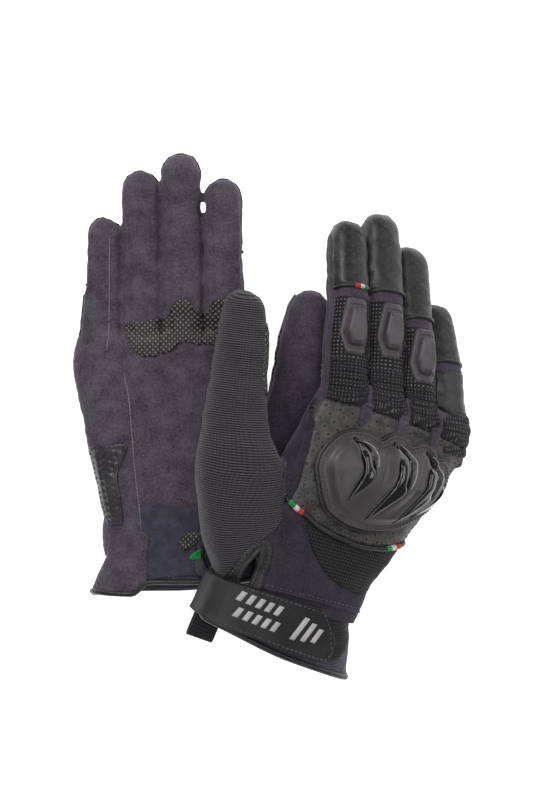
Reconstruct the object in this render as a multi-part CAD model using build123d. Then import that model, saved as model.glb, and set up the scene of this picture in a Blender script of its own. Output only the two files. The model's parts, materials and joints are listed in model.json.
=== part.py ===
"""A pair of short-cuff summer riding gloves: one lies palm up, the other rests back up across it.

Both are the same right-hand pattern.  Every cloth or leather panel is a flat-faced shell wall,
every finger is two stalls hinged at the knuckle and the middle joint, and the wrist strap peels.

Frame of one glove: origin in the middle of the wrist, +X to the little finger, +Y along the
middle finger, +Z out of the back of the hand.  All sizes are millimetres.
"""
from build123d import *
from math import atan2, cos, degrees, radians, sin
import os

# ---------------------------------------------------------------- driving dimensions
WALL = 2.6                     # glove wall: leather or suede with its lining
CORNER_FLATS = 3               # flats that round each corner of a shell
TOUCH = 0.4                    # gap between walls that meet across a hinge

HAND_LENGTH = 106.0            # wrist seam to the front of the back panel, on the index side
WRIST_SIDES = (-37.0, 43.0)    # thumb side and little-finger side of the wrist
KNUCKLE_SIDES = (-35.5, 61.0)  # the same at the knuckles
WRIST_THICK = 33.0
KNUCKLE_THICK = 28.0
HAND_CORNER = 10.0
FRONT_SLOPE = 6.0              # the knuckle edge falls away to the little finger, degrees
PALM_SETBACK = 10.5            # the palm ends this far behind the back, where fingers fold in

CUFF_LENGTH = 31.5
CUFF_FLARE = 1.5               # the cuff mouth is this much wider than the wrist, each way
CUFF_GAP = 0.5
CUFF_OVERLAP = 8.0             # cut back to the wrist seam once the cuff is turned
SLIT_WIDTH = 6.0               # bound slit on the thumb side of the cuff

# name: hinge y, (thumb side, little side) at the base, the same at the tip, thickness,
#       hinge to middle joint, hinge to fingertip
FINGERS = {
    "index": (110.0, (-34.0, -12.4), (-32.0, -13.6), 21.5, 43.0, 86.0),
    "middle": (111.0, (-11.2, 10.8), (-10.4, 9.0), 21.5, 47.0, 98.0),
    "ring": (108.5, (11.6, 32.4), (12.2, 30.6), 20.5, 43.0, 91.0),
    "little": (102.0, (33.4, 56.6), (32.8, 48.6), 19.0, 33.0, 73.0),
}
FINGER_CORNER = 6.5
TIP_DOME = 9.0
ARMOURED = ("index", "middle", "ring")
ARMOUR_LENGTH = 29.0
ARMOUR_WIDTH = 17.5
ARMOUR_RISE = 5.0
MIDDLE_FOLD = 54.0             # and at its middle joint
FOLD_SHARE = 0.6               # the middle joint follows the knuckle in this ratio

THUMB_LENGTH = 85.0
THUMB_WIDTH = 35.0
THUMB_TIP_WIDTH = 24.0
THUMB_THICK = 23.0
THUMB_CORNER = 8.0
THUMB_ROOT_WIDTH = 58.0
THUMB_ROOT_REACH = 40.0
THUMB_FOLD = 45.0              # room to fold towards the palm
THUMB_SPREAD = 28.0            # room to lift away from it

GUARD_BASE = 2.0               # stitched rim of the knuckle guard
GUARD_RISE = 8.5
GUARD_CENTRE = (12.0, 68.0)
FOAM_THICK = 2.0
PATCH = 1.2                    # thickness of a sewn-on patch
STRAP_WIDTH = 25.0
STRAP_THICK = 2.6
STRAP_LENGTH = 70.0
STRAP_PLACE = -17.0            # middle of the strap along the cuff
HOOK_THICK = 1.0

# Each glove as it lies: its own turn of the fingers, bends, and place on the ground.
REAR = {
    "name": "rear", "flipped": True, "lean": 0.0, "tilt": 0.0, "pitch": 2.35,
    "place": (-51.0, -57.0), "raise": 0.0,
    "wrist_shift": 0.0, "finger_turn": 0.0, "cuff_turn": 0.0,
    "base_rest": (6.0, 6.0, 6.0, 6.0), "middle_rest": (6.0, 6.0, 6.0, 6.0),
    "base_more": (28.0, 70.0, 70.0, 70.0), "base_less": (6.0, 6.0, 6.0, 6.0),
    "thumb_at": (-54.0, 52.0), "thumb_lean": 10.0, "thumb_drop": 0.0,
    "thumb_range": (-5.0, 5.0), "strap_open": 150.0,
}
FRONT = {
    "name": "front", "flipped": False, "lean": 19.0, "tilt": 24.0, "pitch": -4.0,
    "place": (23.5, -84.0), "raise": 3.0,
    "wrist_shift": -20.0, "finger_turn": 11.0, "cuff_turn": 6.0,
    "base_rest": (9.0, 10.0, 11.0, 12.0), "middle_rest": (9.0, 9.0, 10.0, 10.0),
    "base_more": (3.0, 60.0, 60.0, 60.0), "base_less": (9.0, 10.0, 11.0, 12.0),
    "thumb_at": (-57.0, 58.0), "thumb_lean": 12.0, "thumb_drop": 12.0,
    "thumb_range": (-25.0, 0.0), "strap_open": 150.0,
}


# ---------------------------------------------------------------- flat-faced solids
def rounded(x_sides, z_sides, corner, y):
    """Corner points of a rounded rectangle that stands across the Y axis at y."""
    points = []
    spots = ((x_sides[1], z_sides[1], -1, -1), (x_sides[0], z_sides[1], 1, -1),
             (x_sides[0], z_sides[0], 1, 1), (x_sides[1], z_sides[0], -1, 1))
    for quarter, (x, z, in_x, in_z) in enumerate(spots):
        for flat in range(CORNER_FLATS + 1):
            turn = radians(90 * (quarter + flat / CORNER_FLATS))
            points.append(Vector(x + in_x * corner + corner * cos(turn), y,
                                 z + in_z * corner + corner * sin(turn)))
    return points


def between(start, end):
    """Solid between two outlines with the same number of points, every face flat."""
    faces = [Face(Wire.make_polygon(start, close=True)), Face(Wire.make_polygon(end, close=True))]
    for here in range(len(start)):
        after = (here + 1) % len(start)
        corners = [start[here], start[after], end[after], end[here]]
        faces.append(Face(Wire.make_polygon(corners, close=True)))
    solid = Solid(Shell(faces))
    return solid if solid.volume > 0 else Solid(Shell([-face for face in faces]))


def beyond(shape, plane):
    """The part of a shape on the side that the plane's normal points to."""
    return shape and shape.split(plane, keep=Keep.TOP)


def within(shape, *planes):
    """The part of a shape behind every plane."""
    for plane in planes:
        shape = shape and shape.split(plane, keep=Keep.BOTTOM)
    return shape


def facing(point, normal):
    """Plane through a point, with an outward normal."""
    return Plane(origin=point, z_dir=normal)


class Tube:
    """A tapering flat-faced tube along +Y, with the planes that bound its cavity."""

    def __init__(self, y_ends, x_start, x_end, z_start, z_end, corner, wall=WALL):
        low, high = y_ends
        self.outer = between(rounded(x_start, z_start, corner, low),
                             rounded(x_end, z_end, corner, high))
        run = high - low

        def side(start, end, outward, along_x):
            slope = (end - start) / run
            inside = start - outward * wall
            if along_x:
                return facing((inside, low, 0), (outward, -outward * slope, 0))
            return facing((0, low, inside), (0, -outward * slope, outward))

        self.top = side(z_start[1], z_end[1], 1, False)
        self.bottom = side(z_start[0], z_end[0], -1, False)
        self.right = side(x_start[1], x_end[1], 1, True)
        self.left = side(x_start[0], x_end[0], -1, True)

    def back(self):
        return beyond(self.outer, self.top)

    def palm(self):
        return beyond(self.outer, self.bottom)

    def thumb_side(self):
        return beyond(within(self.outer, self.top, self.bottom), self.left)

    def little_side(self):
        return beyond(within(self.outer, self.top, self.bottom), self.right)

    def walls(self):
        return [self.back(), self.palm(), self.thumb_side(), self.little_side()]

    def core(self):
        return within(self.outer, self.top, self.bottom, self.left, self.right)


def flat_outline(points):
    return Face(Wire.make_polygon([Vector(x, y, 0) for x, y in points], close=True))


def shrunk(points, share, centre):
    return [(centre[0] + (x - centre[0]) * share, centre[1] + (y - centre[1]) * share)
            for x, y in points]


def domed(points, centre, levels):
    """Stack of tapering layers over an outline: levels are (share of the outline, height)."""
    layers = []
    for (share_a, z_a), (share_b, z_b) in zip(levels, levels[1:]):
        start = [Vector(x, y, z_a) for x, y in shrunk(points, share_a, centre)]
        end = [Vector(x, y, z_b) for x, y in shrunk(points, share_b, centre)]
        layers.append(between(start, end))
    return layers[0].fuse(*layers[1:]).clean() if len(layers) > 1 else layers[0]


# ---------------------------------------------------------------- one glove
class Glove:
    """All the pieces of one glove, by body, in the glove's own frame and then as it lies."""

    def __init__(self, pose):
        self.pose = pose
        self.name = pose["name"]
        self.bodies = {}
        self.joints = []
        self.cavities = {}
        self.hand_shell()
        self.cuff_and_strap()
        self.guard()
        self.thumb()
        for order, finger in enumerate(FINGERS):
            self.finger(order, finger)
        self.lie_down()

    def add(self, body, node, solids):
        solids = solids if isinstance(solids, list) else [solids]
        self.bodies.setdefault(body, {})[node] = solids

    # ------------------------------------------------------------ hand
    def hand_shell(self):
        shift = self.pose["wrist_shift"]
        wrist = (WRIST_SIDES[0] + shift, WRIST_SIDES[1] + shift)
        half_wrist, half_knuckle = WRIST_THICK / 2, KNUCKLE_THICK / 2
        tube = Tube((0.0, HAND_LENGTH + 2), wrist, KNUCKLE_SIDES, (-half_wrist, half_wrist),
                    (-half_knuckle, half_knuckle), HAND_CORNER)
        slope = radians(FRONT_SLOPE)
        forward = (sin(slope), cos(slope), 0)
        back_edge = facing((KNUCKLE_SIDES[0], HAND_LENGTH, 0), forward)
        palm_edge = facing((KNUCKLE_SIDES[0], HAND_LENGTH - PALM_SETBACK, 0), forward)
        self.hand = tube
        self.wrist = wrist
        cavity = within(tube.core(), palm_edge)
        for part, low, high in (("thumb_side", -60, -8), ("middle", -12, 22), ("little_side", 18, 70)):
            strip = beyond(cavity, facing((low, 0, 0), (1, 0, 0)))
            self.cavities["hand_" + part] = within(strip, facing((high, 0, 0), (1, 0, 0)))
        window_low = facing((0, 22.0, 0), (0, 1, 0))
        window_high = facing((0, 76.0, 0), (0, 1, 0))
        side = within(tube.thumb_side(), palm_edge)
        self.add("hand", "palm_panel", within(tube.palm(), palm_edge))
        back = within(tube.back(), back_edge)
        mesh_edge = facing((10, 33, 0), (sin(radians(20)), -cos(radians(20)), 0))
        mesh_side = facing((wrist[0] + 34, 0, 0), (cos(radians(14)), -sin(radians(14)), 0))
        mesh = beyond(beyond(back, mesh_edge), mesh_side)
        self.add("hand", "wrist_mesh", mesh)
        self.add("hand", "back_panel", [within(back, mesh_edge),
                                        within(beyond(back, mesh_edge), mesh_side)])
        self.add("hand", "little_side_wall", within(tube.little_side(), palm_edge))
        self.add("hand", "thumb_side_wall", [within(side, window_low), beyond(side, window_high)])
        self.grip_patches(tube, palm_edge)

    def grip_patches(self, tube, palm_edge):
        """Dotted grip below the fingers and the slider patch on the heel, both on the palm."""
        skin = Plane(origin=tube.bottom.origin + tube.bottom.z_dir * WALL,
                     z_dir=tube.bottom.z_dir)
        outside = Plane(origin=skin.origin + skin.z_dir * PATCH, z_dir=skin.z_dir)
        grip = [(-30, 84), (-8, 84), (-4, 78), (16, 76), (30, 88), (29, 93), (-12, 97), (-30, 98)]
        heel = [(27, 50), (52, 50), (46, 22), (38, 8), (30, 10), (31, 34)]
        for node, points in (("palm_grip_patch", grip), ("heel_patch", heel)):
            slab = extrude(Pos(0, 0, -40) * flat_outline(points), amount=60, dir=(0, 0, 1))
            piece = within(beyond(slab.solid(), skin), outside, palm_edge)
            self.add("hand", node, piece)

    # ------------------------------------------------------------ cuff and strap
    def cuff_and_strap(self):
        half = WRIST_THICK / 2
        mouth = (self.wrist[0] - CUFF_FLARE, self.wrist[1] + CUFF_FLARE)
        tube = Tube((-CUFF_LENGTH, CUFF_OVERLAP), mouth, self.wrist,
                    (-half - CUFF_FLARE, half + CUFF_FLARE), (-half, half), HAND_CORNER)
        slit = self.wrist[0] + 12.0
        slit_left = facing((slit, 0, 0), (1, 0, 0))
        slit_right = facing((slit + SLIT_WIDTH, 0, 0), (1, 0, 0))
        solids = [tube.thumb_side(), tube.little_side()]
        for wall in (tube.back(), tube.palm()):
            solids.append(within(wall, slit_left))
            solids.append(beyond(wall, slit_right))
        hem = facing((0, -CUFF_LENGTH + 5.0, 0), (0, -1, 0))
        middle_x = (self.wrist[0] + self.wrist[1]) / 2
        turn = Pos(middle_x, 0, 0) * Rot(0, 0, -self.pose["cuff_turn"]) * Pos(-middle_x, 0, 0)
        seam = facing((0, -CUFF_GAP, 0), (0, 1, 0))
        self.cavities["cuff_mouth"] = within(tube.core().moved(turn), seam)
        self.add("hand", "cuff", [within(within(piece, hem).moved(turn), seam)
                                  for piece in solids])
        self.add("hand", "cuff_binding", [beyond(piece, hem).moved(turn) for piece in solids])

        top = half + CUFF_FLARE * 0.6
        left = self.wrist[0] - 1.0
        loop_low = top + 0.2
        strap_low = loop_low + PATCH + HOOK_THICK + 0.6
        reach = (STRAP_PLACE - STRAP_WIDTH / 2, STRAP_PLACE + STRAP_WIDTH / 2)
        loop = self.slab((left + 24, left + 80), (reach[0] + 2, reach[1] - 2),
                         (top - 3, loop_low + PATCH))
        skin = Plane(origin=tube.top.origin + tube.top.z_dir * WALL, z_dir=tube.top.z_dir)
        self.add("hand", "loop_patch", beyond(beyond(loop, skin), slit_right).moved(turn))
        hook = self.slab((left + 40, left + 62), (reach[0] + 3, reach[1] - 3),
                         (strap_low - HOOK_THICK, strap_low))
        low, high = reach
        tip = left + STRAP_LENGTH
        outline = [(left, low), (tip - 5, low), (tip, low + 9), (tip - 9, high), (left, high)]
        strap = extrude(Pos(0, 0, strap_low) * flat_outline(outline), amount=STRAP_THICK)
        self.add("strap", "wrist_strap", strap.solid().moved(turn))
        self.add("strap", "hook_patch", hook.moved(turn))
        pin = turn * Pos(left, STRAP_PLACE, strap_low)
        axis = (pin * Pos(0, -1, 0)).position - pin.position
        self.joints.append({"name": "strap_peel", "parent": "hand", "child": "strap",
                            "at": tuple(pin.position), "axis": tuple(axis),
                            "range": (0.0, self.pose["strap_open"])})
        tab_x = self.wrist[0] + 3.0
        tab = self.slab((tab_x, tab_x + 15), (-CUFF_LENGTH - 12, -CUFF_LENGTH + 6),
                        (-half - CUFF_FLARE - 2.4, -half - CUFF_FLARE - 0.1))
        self.add("hand", "pull_tab", tab.moved(turn))

    @staticmethod
    def slab(x_sides, y_sides, z_sides):
        low = [Vector(x, y, z_sides[0]) for x, y in
               ((x_sides[0], y_sides[0]), (x_sides[1], y_sides[0]),
                (x_sides[1], y_sides[1]), (x_sides[0], y_sides[1]))]
        high = [Vector(point.X, point.Y, z_sides[1]) for point in low]
        return between(low, high)

    # ------------------------------------------------------------ knuckle guard
    def guard(self):
        """Moulded guard with four lobes on its front edge, on a foam pad, with claw vents."""
        x, y = GUARD_CENTRE
        outline = [(x + dx, y + dy) for dx, dy in (
            (-42, -6), (-38, 11), (-31, 22), (-23, 25), (-14, 22), (-10, 18), (-5, 23), (5, 24),
            (12, 20), (14, 16), (19, 20), (27, 18), (31, 13), (33, 9), (38, 10), (42, 4),
            (42, -10), (36, -22), (26, -29), (10, -32), (-9, -31), (-25, -24), (-37, -15))]
        tilt = degrees(atan2((WRIST_THICK - KNUCKLE_THICK) / 2, HAND_LENGTH + 2))
        skin_z = WRIST_THICK / 2
        place = Pos(0, 0, skin_z) * Rot(-tilt, 0, 0)
        foam = domed(outline, (x, y), ((0.94, 0.0), (0.94, FOAM_THICK)))
        shell = domed(outline, (x, y), ((1.0, FOAM_THICK), (1.0, FOAM_THICK + GUARD_BASE),
                                        (0.90, FOAM_THICK + GUARD_BASE + 0.6),
                                        (0.84, FOAM_THICK + GUARD_BASE + 4.2),
                                        (0.66, FOAM_THICK + GUARD_BASE + GUARD_RISE - 1.6),
                                        (0.36, FOAM_THICK + GUARD_BASE + GUARD_RISE)))
        floor = FOAM_THICK + GUARD_BASE
        pockets, inserts = [], []
        for head, point in (((-12, 16), (-20, -17)), ((7, 15), (-8, -25)),
                            ((23, 12), (7, -26)), ((34, 2), (21, -23))):
            claw = self.claw(head, point)
            pocket = extrude(Pos(x, y, floor) * claw, amount=40).solid()
            pockets.append(pocket)
            insert = extrude(Pos(x, y, floor) * claw, amount=GUARD_RISE - 3.5).solid()
            inserts.append(insert.intersect(shell))
        inserts = [piece.solid() if hasattr(piece, "solid") else piece[0].solid()
                   for piece in inserts]
        shell = shell.cut(*pockets)
        self.add("hand", "knuckle_foam", foam.moved(place))
        self.add("hand", "knuckle_guard", shell.solid().moved(place))
        self.add("hand", "guard_vents", [piece.moved(place) for piece in inserts])
        route = [(-49, -12), (-41, -23), (-27, -33), (-10, -40), (10, -42), (25, -38)]
        bars = []
        for (ax, ay), (bx, by) in zip(route, route[1:]):
            run = ((bx - ax) ** 2 + (by - ay) ** 2) ** 0.5
            bar = between(rounded((-1.1, 1.1), (0.05, 2.25), 0.5, 0.1),
                          rounded((-1.1, 1.1), (0.05, 2.25), 0.5, run - 0.4))
            turn = degrees(atan2(by - ay, bx - ax)) - 90
            bars.append(bar.moved(place * Pos(x + ax, y + ay, 0) * Rot(0, 0, turn)))
        self.add("hand", "guard_piping", bars)

    @staticmethod
    def claw(head, point):
        """Outline of one vent: blunt at the head, widest a third of the way down, then a point."""
        run_x, run_y = point[0] - head[0], point[1] - head[1]
        length = (run_x ** 2 + run_y ** 2) ** 0.5
        along = (run_x / length, run_y / length)
        across = (-along[1], along[0])
        shape = ((0.0, 1.4), (0.35, 3.4), (0.7, 2.2), (1.0, 0.0), (0.65, -1.6), (0.3, -2.8),
                 (0.0, -1.4))
        return flat_outline([(head[0] + along[0] * share * length + across[0] * wide,
                              head[1] + along[1] * share * length + across[1] * wide)
                             for share, wide in shape])

    # ------------------------------------------------------------ thumb
    def thumb(self):
        pose = self.pose
        x, y = pose["thumb_at"]
        x += pose["wrist_shift"] * (1 - y / HAND_LENGTH)
        place = Pos(x, y, 0) * Rot(0, 0, pose["thumb_lean"]) * Rot(-pose["thumb_drop"], 0, 0)
        half_wide, half_thick = THUMB_WIDTH / 2, THUMB_THICK / 2
        root_half = THUMB_ROOT_WIDTH / 2
        root = Tube((-THUMB_ROOT_REACH, -1.0), (-root_half, root_half), (-half_wide, half_wide),
                    (-half_thick - 1, half_thick + 1), (-half_thick, half_thick), THUMB_CORNER)
        skin = Plane(origin=self.hand.left.origin + self.hand.left.z_dir * (WALL + 0.1),
                     z_dir=self.hand.left.z_dir)
        wrist_edge = facing((0, 2.0, 0), (0, 1, 0))
        pieces = []
        for wall in root.walls():
            piece = beyond(beyond(wall.moved(place), skin), wrist_edge)
            if piece and piece.volume > 1:
                pieces += piece.solids()
        self.add("hand", "thumb_root", pieces)
        straight = THUMB_LENGTH - TIP_DOME
        half_tip = THUMB_TIP_WIDTH / 2
        stall = Tube((1.0, straight), (-half_wide, half_wide), (-half_tip, half_tip),
                     (-half_thick, half_thick), (-half_thick + 1, half_thick - 1), THUMB_CORNER)
        fold, spread = radians(THUMB_FOLD / 2), radians(THUMB_SPREAD)
        ends = (facing((0, TOUCH, 0), (0, -cos(fold), -sin(fold))),
                facing((0, TOUCH, 0), (0, -cos(spread), sin(spread))))
        walls = [within(wall, *ends) for wall in stall.walls()]
        walls.append(self.dome(straight, (-half_tip, half_tip),
                               (-half_thick + 1, half_thick - 1), THUMB_CORNER))
        self.cavities["thumb"] = within(stall.core(), *ends).moved(place)
        self.add("thumb", "thumb_stall", [wall.moved(place) for wall in walls])
        self.joint_at("thumb_flex", "hand", "thumb", place, pose["thumb_range"])

    def joint_at(self, name, parent, child, place, span):
        """Hinge across a stall at its own origin: positive folds it towards the palm."""
        origin = (place * Pos(0, 0, 0)).position
        tip = (place * Pos(-1, 0, 0)).position
        axis = tip - origin
        self.joints.append({"name": name, "parent": parent, "child": child,
                            "at": tuple(origin), "axis": tuple(axis), "range": span})

    @staticmethod
    def dome(y, x_sides, z_sides, corner):
        """Closed end of a stall: one tapering block."""
        width, thick = x_sides[1] - x_sides[0], z_sides[1] - z_sides[0]
        middle_x, middle_z = (x_sides[0] + x_sides[1]) / 2, (z_sides[0] + z_sides[1]) / 2
        share = 0.56
        start = rounded(x_sides, z_sides, corner, y + 0.05)
        end = [Vector(middle_x + (point.X - middle_x) * share, y + TIP_DOME,
                      middle_z + (point.Z - middle_z) * share) for point in start]
        return between(start, end)

    # ------------------------------------------------------------ fingers
    def finger(self, order, name):
        hinge, base, tip, thick, middle, length = FINGERS[name]
        pose = self.pose
        turn = Rot(0, 0, pose["finger_turn"])
        centre = (base[0] + base[1]) / 2
        swing = radians(pose["finger_turn"])
        across = (centre - (hinge - FINGERS["index"][0]) * sin(swing)) / cos(swing)
        place = Pos(across, hinge, 0) * turn * Rot(-pose["base_rest"][order], 0, 0)
        base = (base[0] - centre, base[1] - centre)
        tip = (tip[0] - centre, tip[1] - centre)

        def sides(y):
            share = y / length
            return tuple(b + (t - b) * share for b, t in zip(base, tip))

        def depth(y):
            half = thick / 2 - 1.2 * y / length
            return (-half, half)

        lower = Tube((1.0, middle), sides(1.0), sides(middle), depth(1.0), depth(middle),
                     FINGER_CORNER)
        half_fold = radians(MIDDLE_FOLD / 2 + 2)
        ends = (facing((0, middle - TOUCH, 0), (0, 1, 0)),
                facing((0, middle - TOUCH / 2, 0), (0, cos(half_fold), -sin(half_fold))))
        walls = [within(wall, *ends) for wall in lower.walls()]
        body = name + "_base"
        self.cavities[body] = within(lower.core(), *ends).moved(place)
        self.add(body, name + "_base_stall", [wall.moved(place) for wall in walls])
        more, less = pose["base_more"][order], pose["base_less"][order]
        self.joint_at(name + "_knuckle", "hand", body, place, (-less, more))
        if name in ARMOURED:
            self.add(body, name + "_armour", self.armour(lower, middle).moved(place))

        bend = place * Pos(0, middle, 0) * Rot(-pose["middle_rest"][order], 0, 0) * Pos(0, -middle, 0)
        straight = length - TIP_DOME
        upper = Tube((middle, straight), sides(middle), sides(straight), depth(middle),
                     depth(straight), FINGER_CORNER)
        starts = (facing((0, middle + TOUCH, 0), (0, -1, 0)),
                  facing((0, middle + TOUCH / 2, 0), (0, -cos(half_fold), -sin(half_fold))))
        walls = [within(wall, *starts) for wall in upper.walls()]
        walls.append(self.dome(straight, sides(straight), depth(straight), FINGER_CORNER))
        outer_body = name + "_tip"
        self.cavities[outer_body] = within(upper.core(), *starts).moved(bend)
        self.add(outer_body, name + "_tip_stall", [wall.moved(bend) for wall in walls])
        self.joint_at(name + "_bend", body, outer_body, bend * Pos(0, middle, 0),
                      (-less * FOLD_SHARE - 0.5, more * FOLD_SHARE + 0.5))

    @staticmethod
    def armour(tube, middle):
        """Six-sided moulded guard over the finger bone, with a raised inner wedge."""
        half, long = ARMOUR_WIDTH / 2, ARMOUR_LENGTH
        y0 = middle - 2.0 - long
        shape = [(-half * 0.62, 0), (half * 0.62, 0), (half, long * 0.36), (half * 0.62, long),
                 (-half * 0.62, long), (-half, long * 0.36)]
        outline = [(x, y0 + y) for x, y in shape]
        centre = (0, y0 + long * 0.45)
        low = tube.top.origin.Z + WALL - 2.4
        top = tube.top.origin.Z + WALL
        block = domed(outline, centre, ((1.0, low), (1.0, top + 1.4), (0.9, top + 1.8),
                                        (0.72, top + 1.8 + 0.2), (0.6, top + ARMOUR_RISE)))
        return block.cut(tube.outer).solids().sort_by(Axis.Z)[-1]

    # ------------------------------------------------------------ placing
    def lie_down(self):
        pose = self.pose
        turn = Rot(0, 0, -pose["lean"]) * Rot(0, pose["tilt"], 0) * Rot(pose["pitch"], 0, 0)
        if pose["flipped"]:
            turn = turn * Rot(0, 180, 0)
        turned = [solid.moved(turn) for nodes in self.bodies.values()
                  for solids in nodes.values() for solid in solids]
        low = min(solid.bounding_box().min.Z for solid in turned)
        self.place = Pos(pose["place"][0], pose["place"][1], pose["raise"] - low) * turn
        self.move(self.place)

    def move(self, place):
        for nodes in self.bodies.values():
            for node in nodes:
                nodes[node] = [solid.moved(place) for solid in nodes[node]]
        for name, space in self.cavities.items():
            self.cavities[name] = space.moved(place)
        for joint in self.joints:
            start = (place * Pos(*joint["at"])).position
            end = (place * Pos(*(a + b for a, b in zip(joint["at"], joint["axis"])))).position
            joint["at"] = tuple(start)
            joint["axis"] = tuple(end - start)


# ---------------------------------------------------------------- the pair
gloves = [Glove(REAR), Glove(FRONT)]
solids = [solid for glove in gloves for nodes in glove.bodies.values()
          for group in nodes.values() for solid in group]
boxes = [solid.bounding_box() for solid in solids]
middle_x = (min(box.min.X for box in boxes) + max(box.max.X for box in boxes)) / 2
middle_y = (min(box.min.Y for box in boxes) + max(box.max.Y for box in boxes)) / 2
ground = min(box.min.Z for box in boxes)
for glove in gloves:
    glove.move(Pos(-middle_x, -middle_y, -ground))

os.makedirs("parts", exist_ok=True)
for glove in gloves:
    for nodes in glove.bodies.values():
        for node, group in nodes.items():
            shape = group[0] if len(group) == 1 else Compound(children=group)
            export_step(shape, f"parts/{glove.name}_{node}.step")
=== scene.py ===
"""A pair of short-cuff summer riding gloves: one palm up, the other resting back up across it.

Lengths are millimetres in each glove's own frame: origin in the middle of the wrist, +X to the
little finger, +Y along the middle finger, +Z out of the back of the hand.  `Glove.place` carries
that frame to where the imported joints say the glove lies, in metres.
"""
import json
from math import acos, atan2, cos, degrees, exp, floor, hypot, pi, radians, sin

import bmesh
import bpy
from mathutils import Matrix, Vector, noise
from mathutils.bvhtree import BVHTree
from mathutils.kdtree import KDTree


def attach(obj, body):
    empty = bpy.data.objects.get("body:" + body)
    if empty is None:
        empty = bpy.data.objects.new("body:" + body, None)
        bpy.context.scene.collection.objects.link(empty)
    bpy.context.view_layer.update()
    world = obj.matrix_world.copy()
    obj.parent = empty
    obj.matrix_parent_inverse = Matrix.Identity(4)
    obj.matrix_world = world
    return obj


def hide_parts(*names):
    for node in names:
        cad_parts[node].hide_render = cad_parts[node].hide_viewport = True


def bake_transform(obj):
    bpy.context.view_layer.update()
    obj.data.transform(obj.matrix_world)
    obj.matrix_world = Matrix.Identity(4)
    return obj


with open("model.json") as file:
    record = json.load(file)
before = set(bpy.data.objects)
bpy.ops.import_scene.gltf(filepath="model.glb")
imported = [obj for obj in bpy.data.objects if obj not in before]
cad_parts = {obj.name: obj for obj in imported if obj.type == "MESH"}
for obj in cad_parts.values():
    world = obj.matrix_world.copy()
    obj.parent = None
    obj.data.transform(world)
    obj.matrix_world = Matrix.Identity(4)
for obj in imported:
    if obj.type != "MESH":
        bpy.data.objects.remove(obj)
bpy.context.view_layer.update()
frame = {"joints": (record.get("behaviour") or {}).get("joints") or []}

MM = 0.001
JOINTS = {joint["name"]: joint for joint in frame["joints"]}

# ---------------------------------------------------------------- the pattern, as part.py has it
WRIST_TO_KNUCKLE = 106.0
FINGERS = {  # hinge y, base sides, tip sides, thickness, hinge to middle joint, hinge to tip
    "index": (110.0, (-34.0, -12.4), (-32.0, -13.6), 21.5, 43.0, 86.0),
    "middle": (111.0, (-11.2, 10.8), (-10.4, 9.0), 21.5, 47.0, 98.0),
    "ring": (108.5, (11.6, 32.4), (12.2, 30.6), 20.5, 43.0, 91.0),
    "little": (102.0, (33.4, 56.6), (32.8, 48.6), 19.0, 33.0, 73.0),
}
LIES = {
    "rear": {"flipped": True, "lean": 0.0, "tilt": 0.0, "pitch": 2.35, "shift": 0.0,
             "finger_turn": 0.0, "cuff_turn": 0.0, "bend": (6.0, 6.0, 6.0, 6.0),
             "curl": (6.0, 6.0, 6.0, 6.0), "thumb": (-54.0, 52.0), "thumb_lean": 10.0,
             "thumb_drop": 0.0, "longer": 1.0},
    "front": {"flipped": False, "lean": 19.0, "tilt": 24.0, "pitch": -4.0, "shift": -20.0,
              "finger_turn": 11.0, "cuff_turn": 6.0, "bend": (9.0, 10.0, 11.0, 12.0),
              "curl": (9.0, 9.0, 10.0, 10.0), "thumb": (-57.0, 58.0), "thumb_lean": 12.0,
              "thumb_drop": 12.0, "longer": 1.04},
}
WRIST_MIDDLE = 3.0
STRAP_Y = (-29.5, -4.5)
STRAP_START = -38.0
STRAP_END = 32.0
STRAP_WIDTH = 25.0

# how square each section is: 2 is an ellipse, more is nearer to a rounded box
HAND_SQUARE = 3.1
FINGER_SQUARE = 2.8
FINGER_PANEL_SQUARE = 2.4
THUMB_SQUARE = 2.35
CUFF_SQUARE = 3.0

VOXEL = 1.5                    # grid of the remeshed skin
WAVE_PERIOD = pi / 10          # a wave texture at scale 1 repeats every pi / 10
CUFF_MOUTH = -29.5
CUFF_TOP = -9.0                # the cuff is above the hand's skin up to here
WRIST_CUT = -9.5               # the hand's skin stops here, under the cuff


# ---------------------------------------------------------------- small helpers
def ease(value, low, high):
    """0 below low, 1 above high, and a soft step between."""
    share = min(max((value - low) / (high - low), 0.0), 1.0)
    return share * share * (3 - 2 * share)


def bump(value, centre, width):
    return exp(-((value - centre) / width) ** 2)


def read(rows, key):
    """Row of numbers at key, eased between the rows of a table that starts with its keys."""
    if key <= rows[0][0]:
        return rows[0][1:]
    for low, high in zip(rows, rows[1:]):
        if key <= high[0]:
            share = (key - low[0]) / (high[0] - low[0])
            return [a + (b - a) * share for a, b in zip(low[1:], high[1:])]
    return rows[-1][1:]


def rounded_line(points, step=1.5, closed=False):
    """Even points along a smooth line through the given (x, y) points."""
    points = [Vector(point) for point in points]
    count = len(points)
    spans = count if closed else count - 1
    line = []
    for span in range(spans):
        if closed:
            a, b, c, d = (points[(span + k - 1) % count] for k in range(4))
        else:
            b, c = points[span], points[span + 1]
            a = points[span - 1] if span else b * 2 - c
            d = points[span + 2] if span + 2 < count else c * 2 - b
        parts = max(2, int((c - b).length / step + 0.5))
        for part in range(parts):
            t = part / parts
            line.append(0.5 * ((2 * b) + (c - a) * t + (2 * a - 5 * b + 4 * c - d) * t * t
                               + (3 * b - a - 3 * c + d) * t ** 3))
    if not closed:
        line.append(points[-1])
    return line


def tree_of(points):
    """Points as a tree that finds the nearest one."""
    tree = KDTree(len(points))
    for index, point in enumerate(points):
        tree.insert(point, index)
    tree.balance()
    return tree


def inside(x, y, line):
    """True if (x, y) is inside the closed line."""
    hit = False
    before = line[-1]
    for point in line:
        if (point.y > y) != (before.y > y):
            if x < (before.x - point.x) * (y - point.y) / (before.y - point.y) + point.x:
                hit = not hit
        before = point
    return hit


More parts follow.
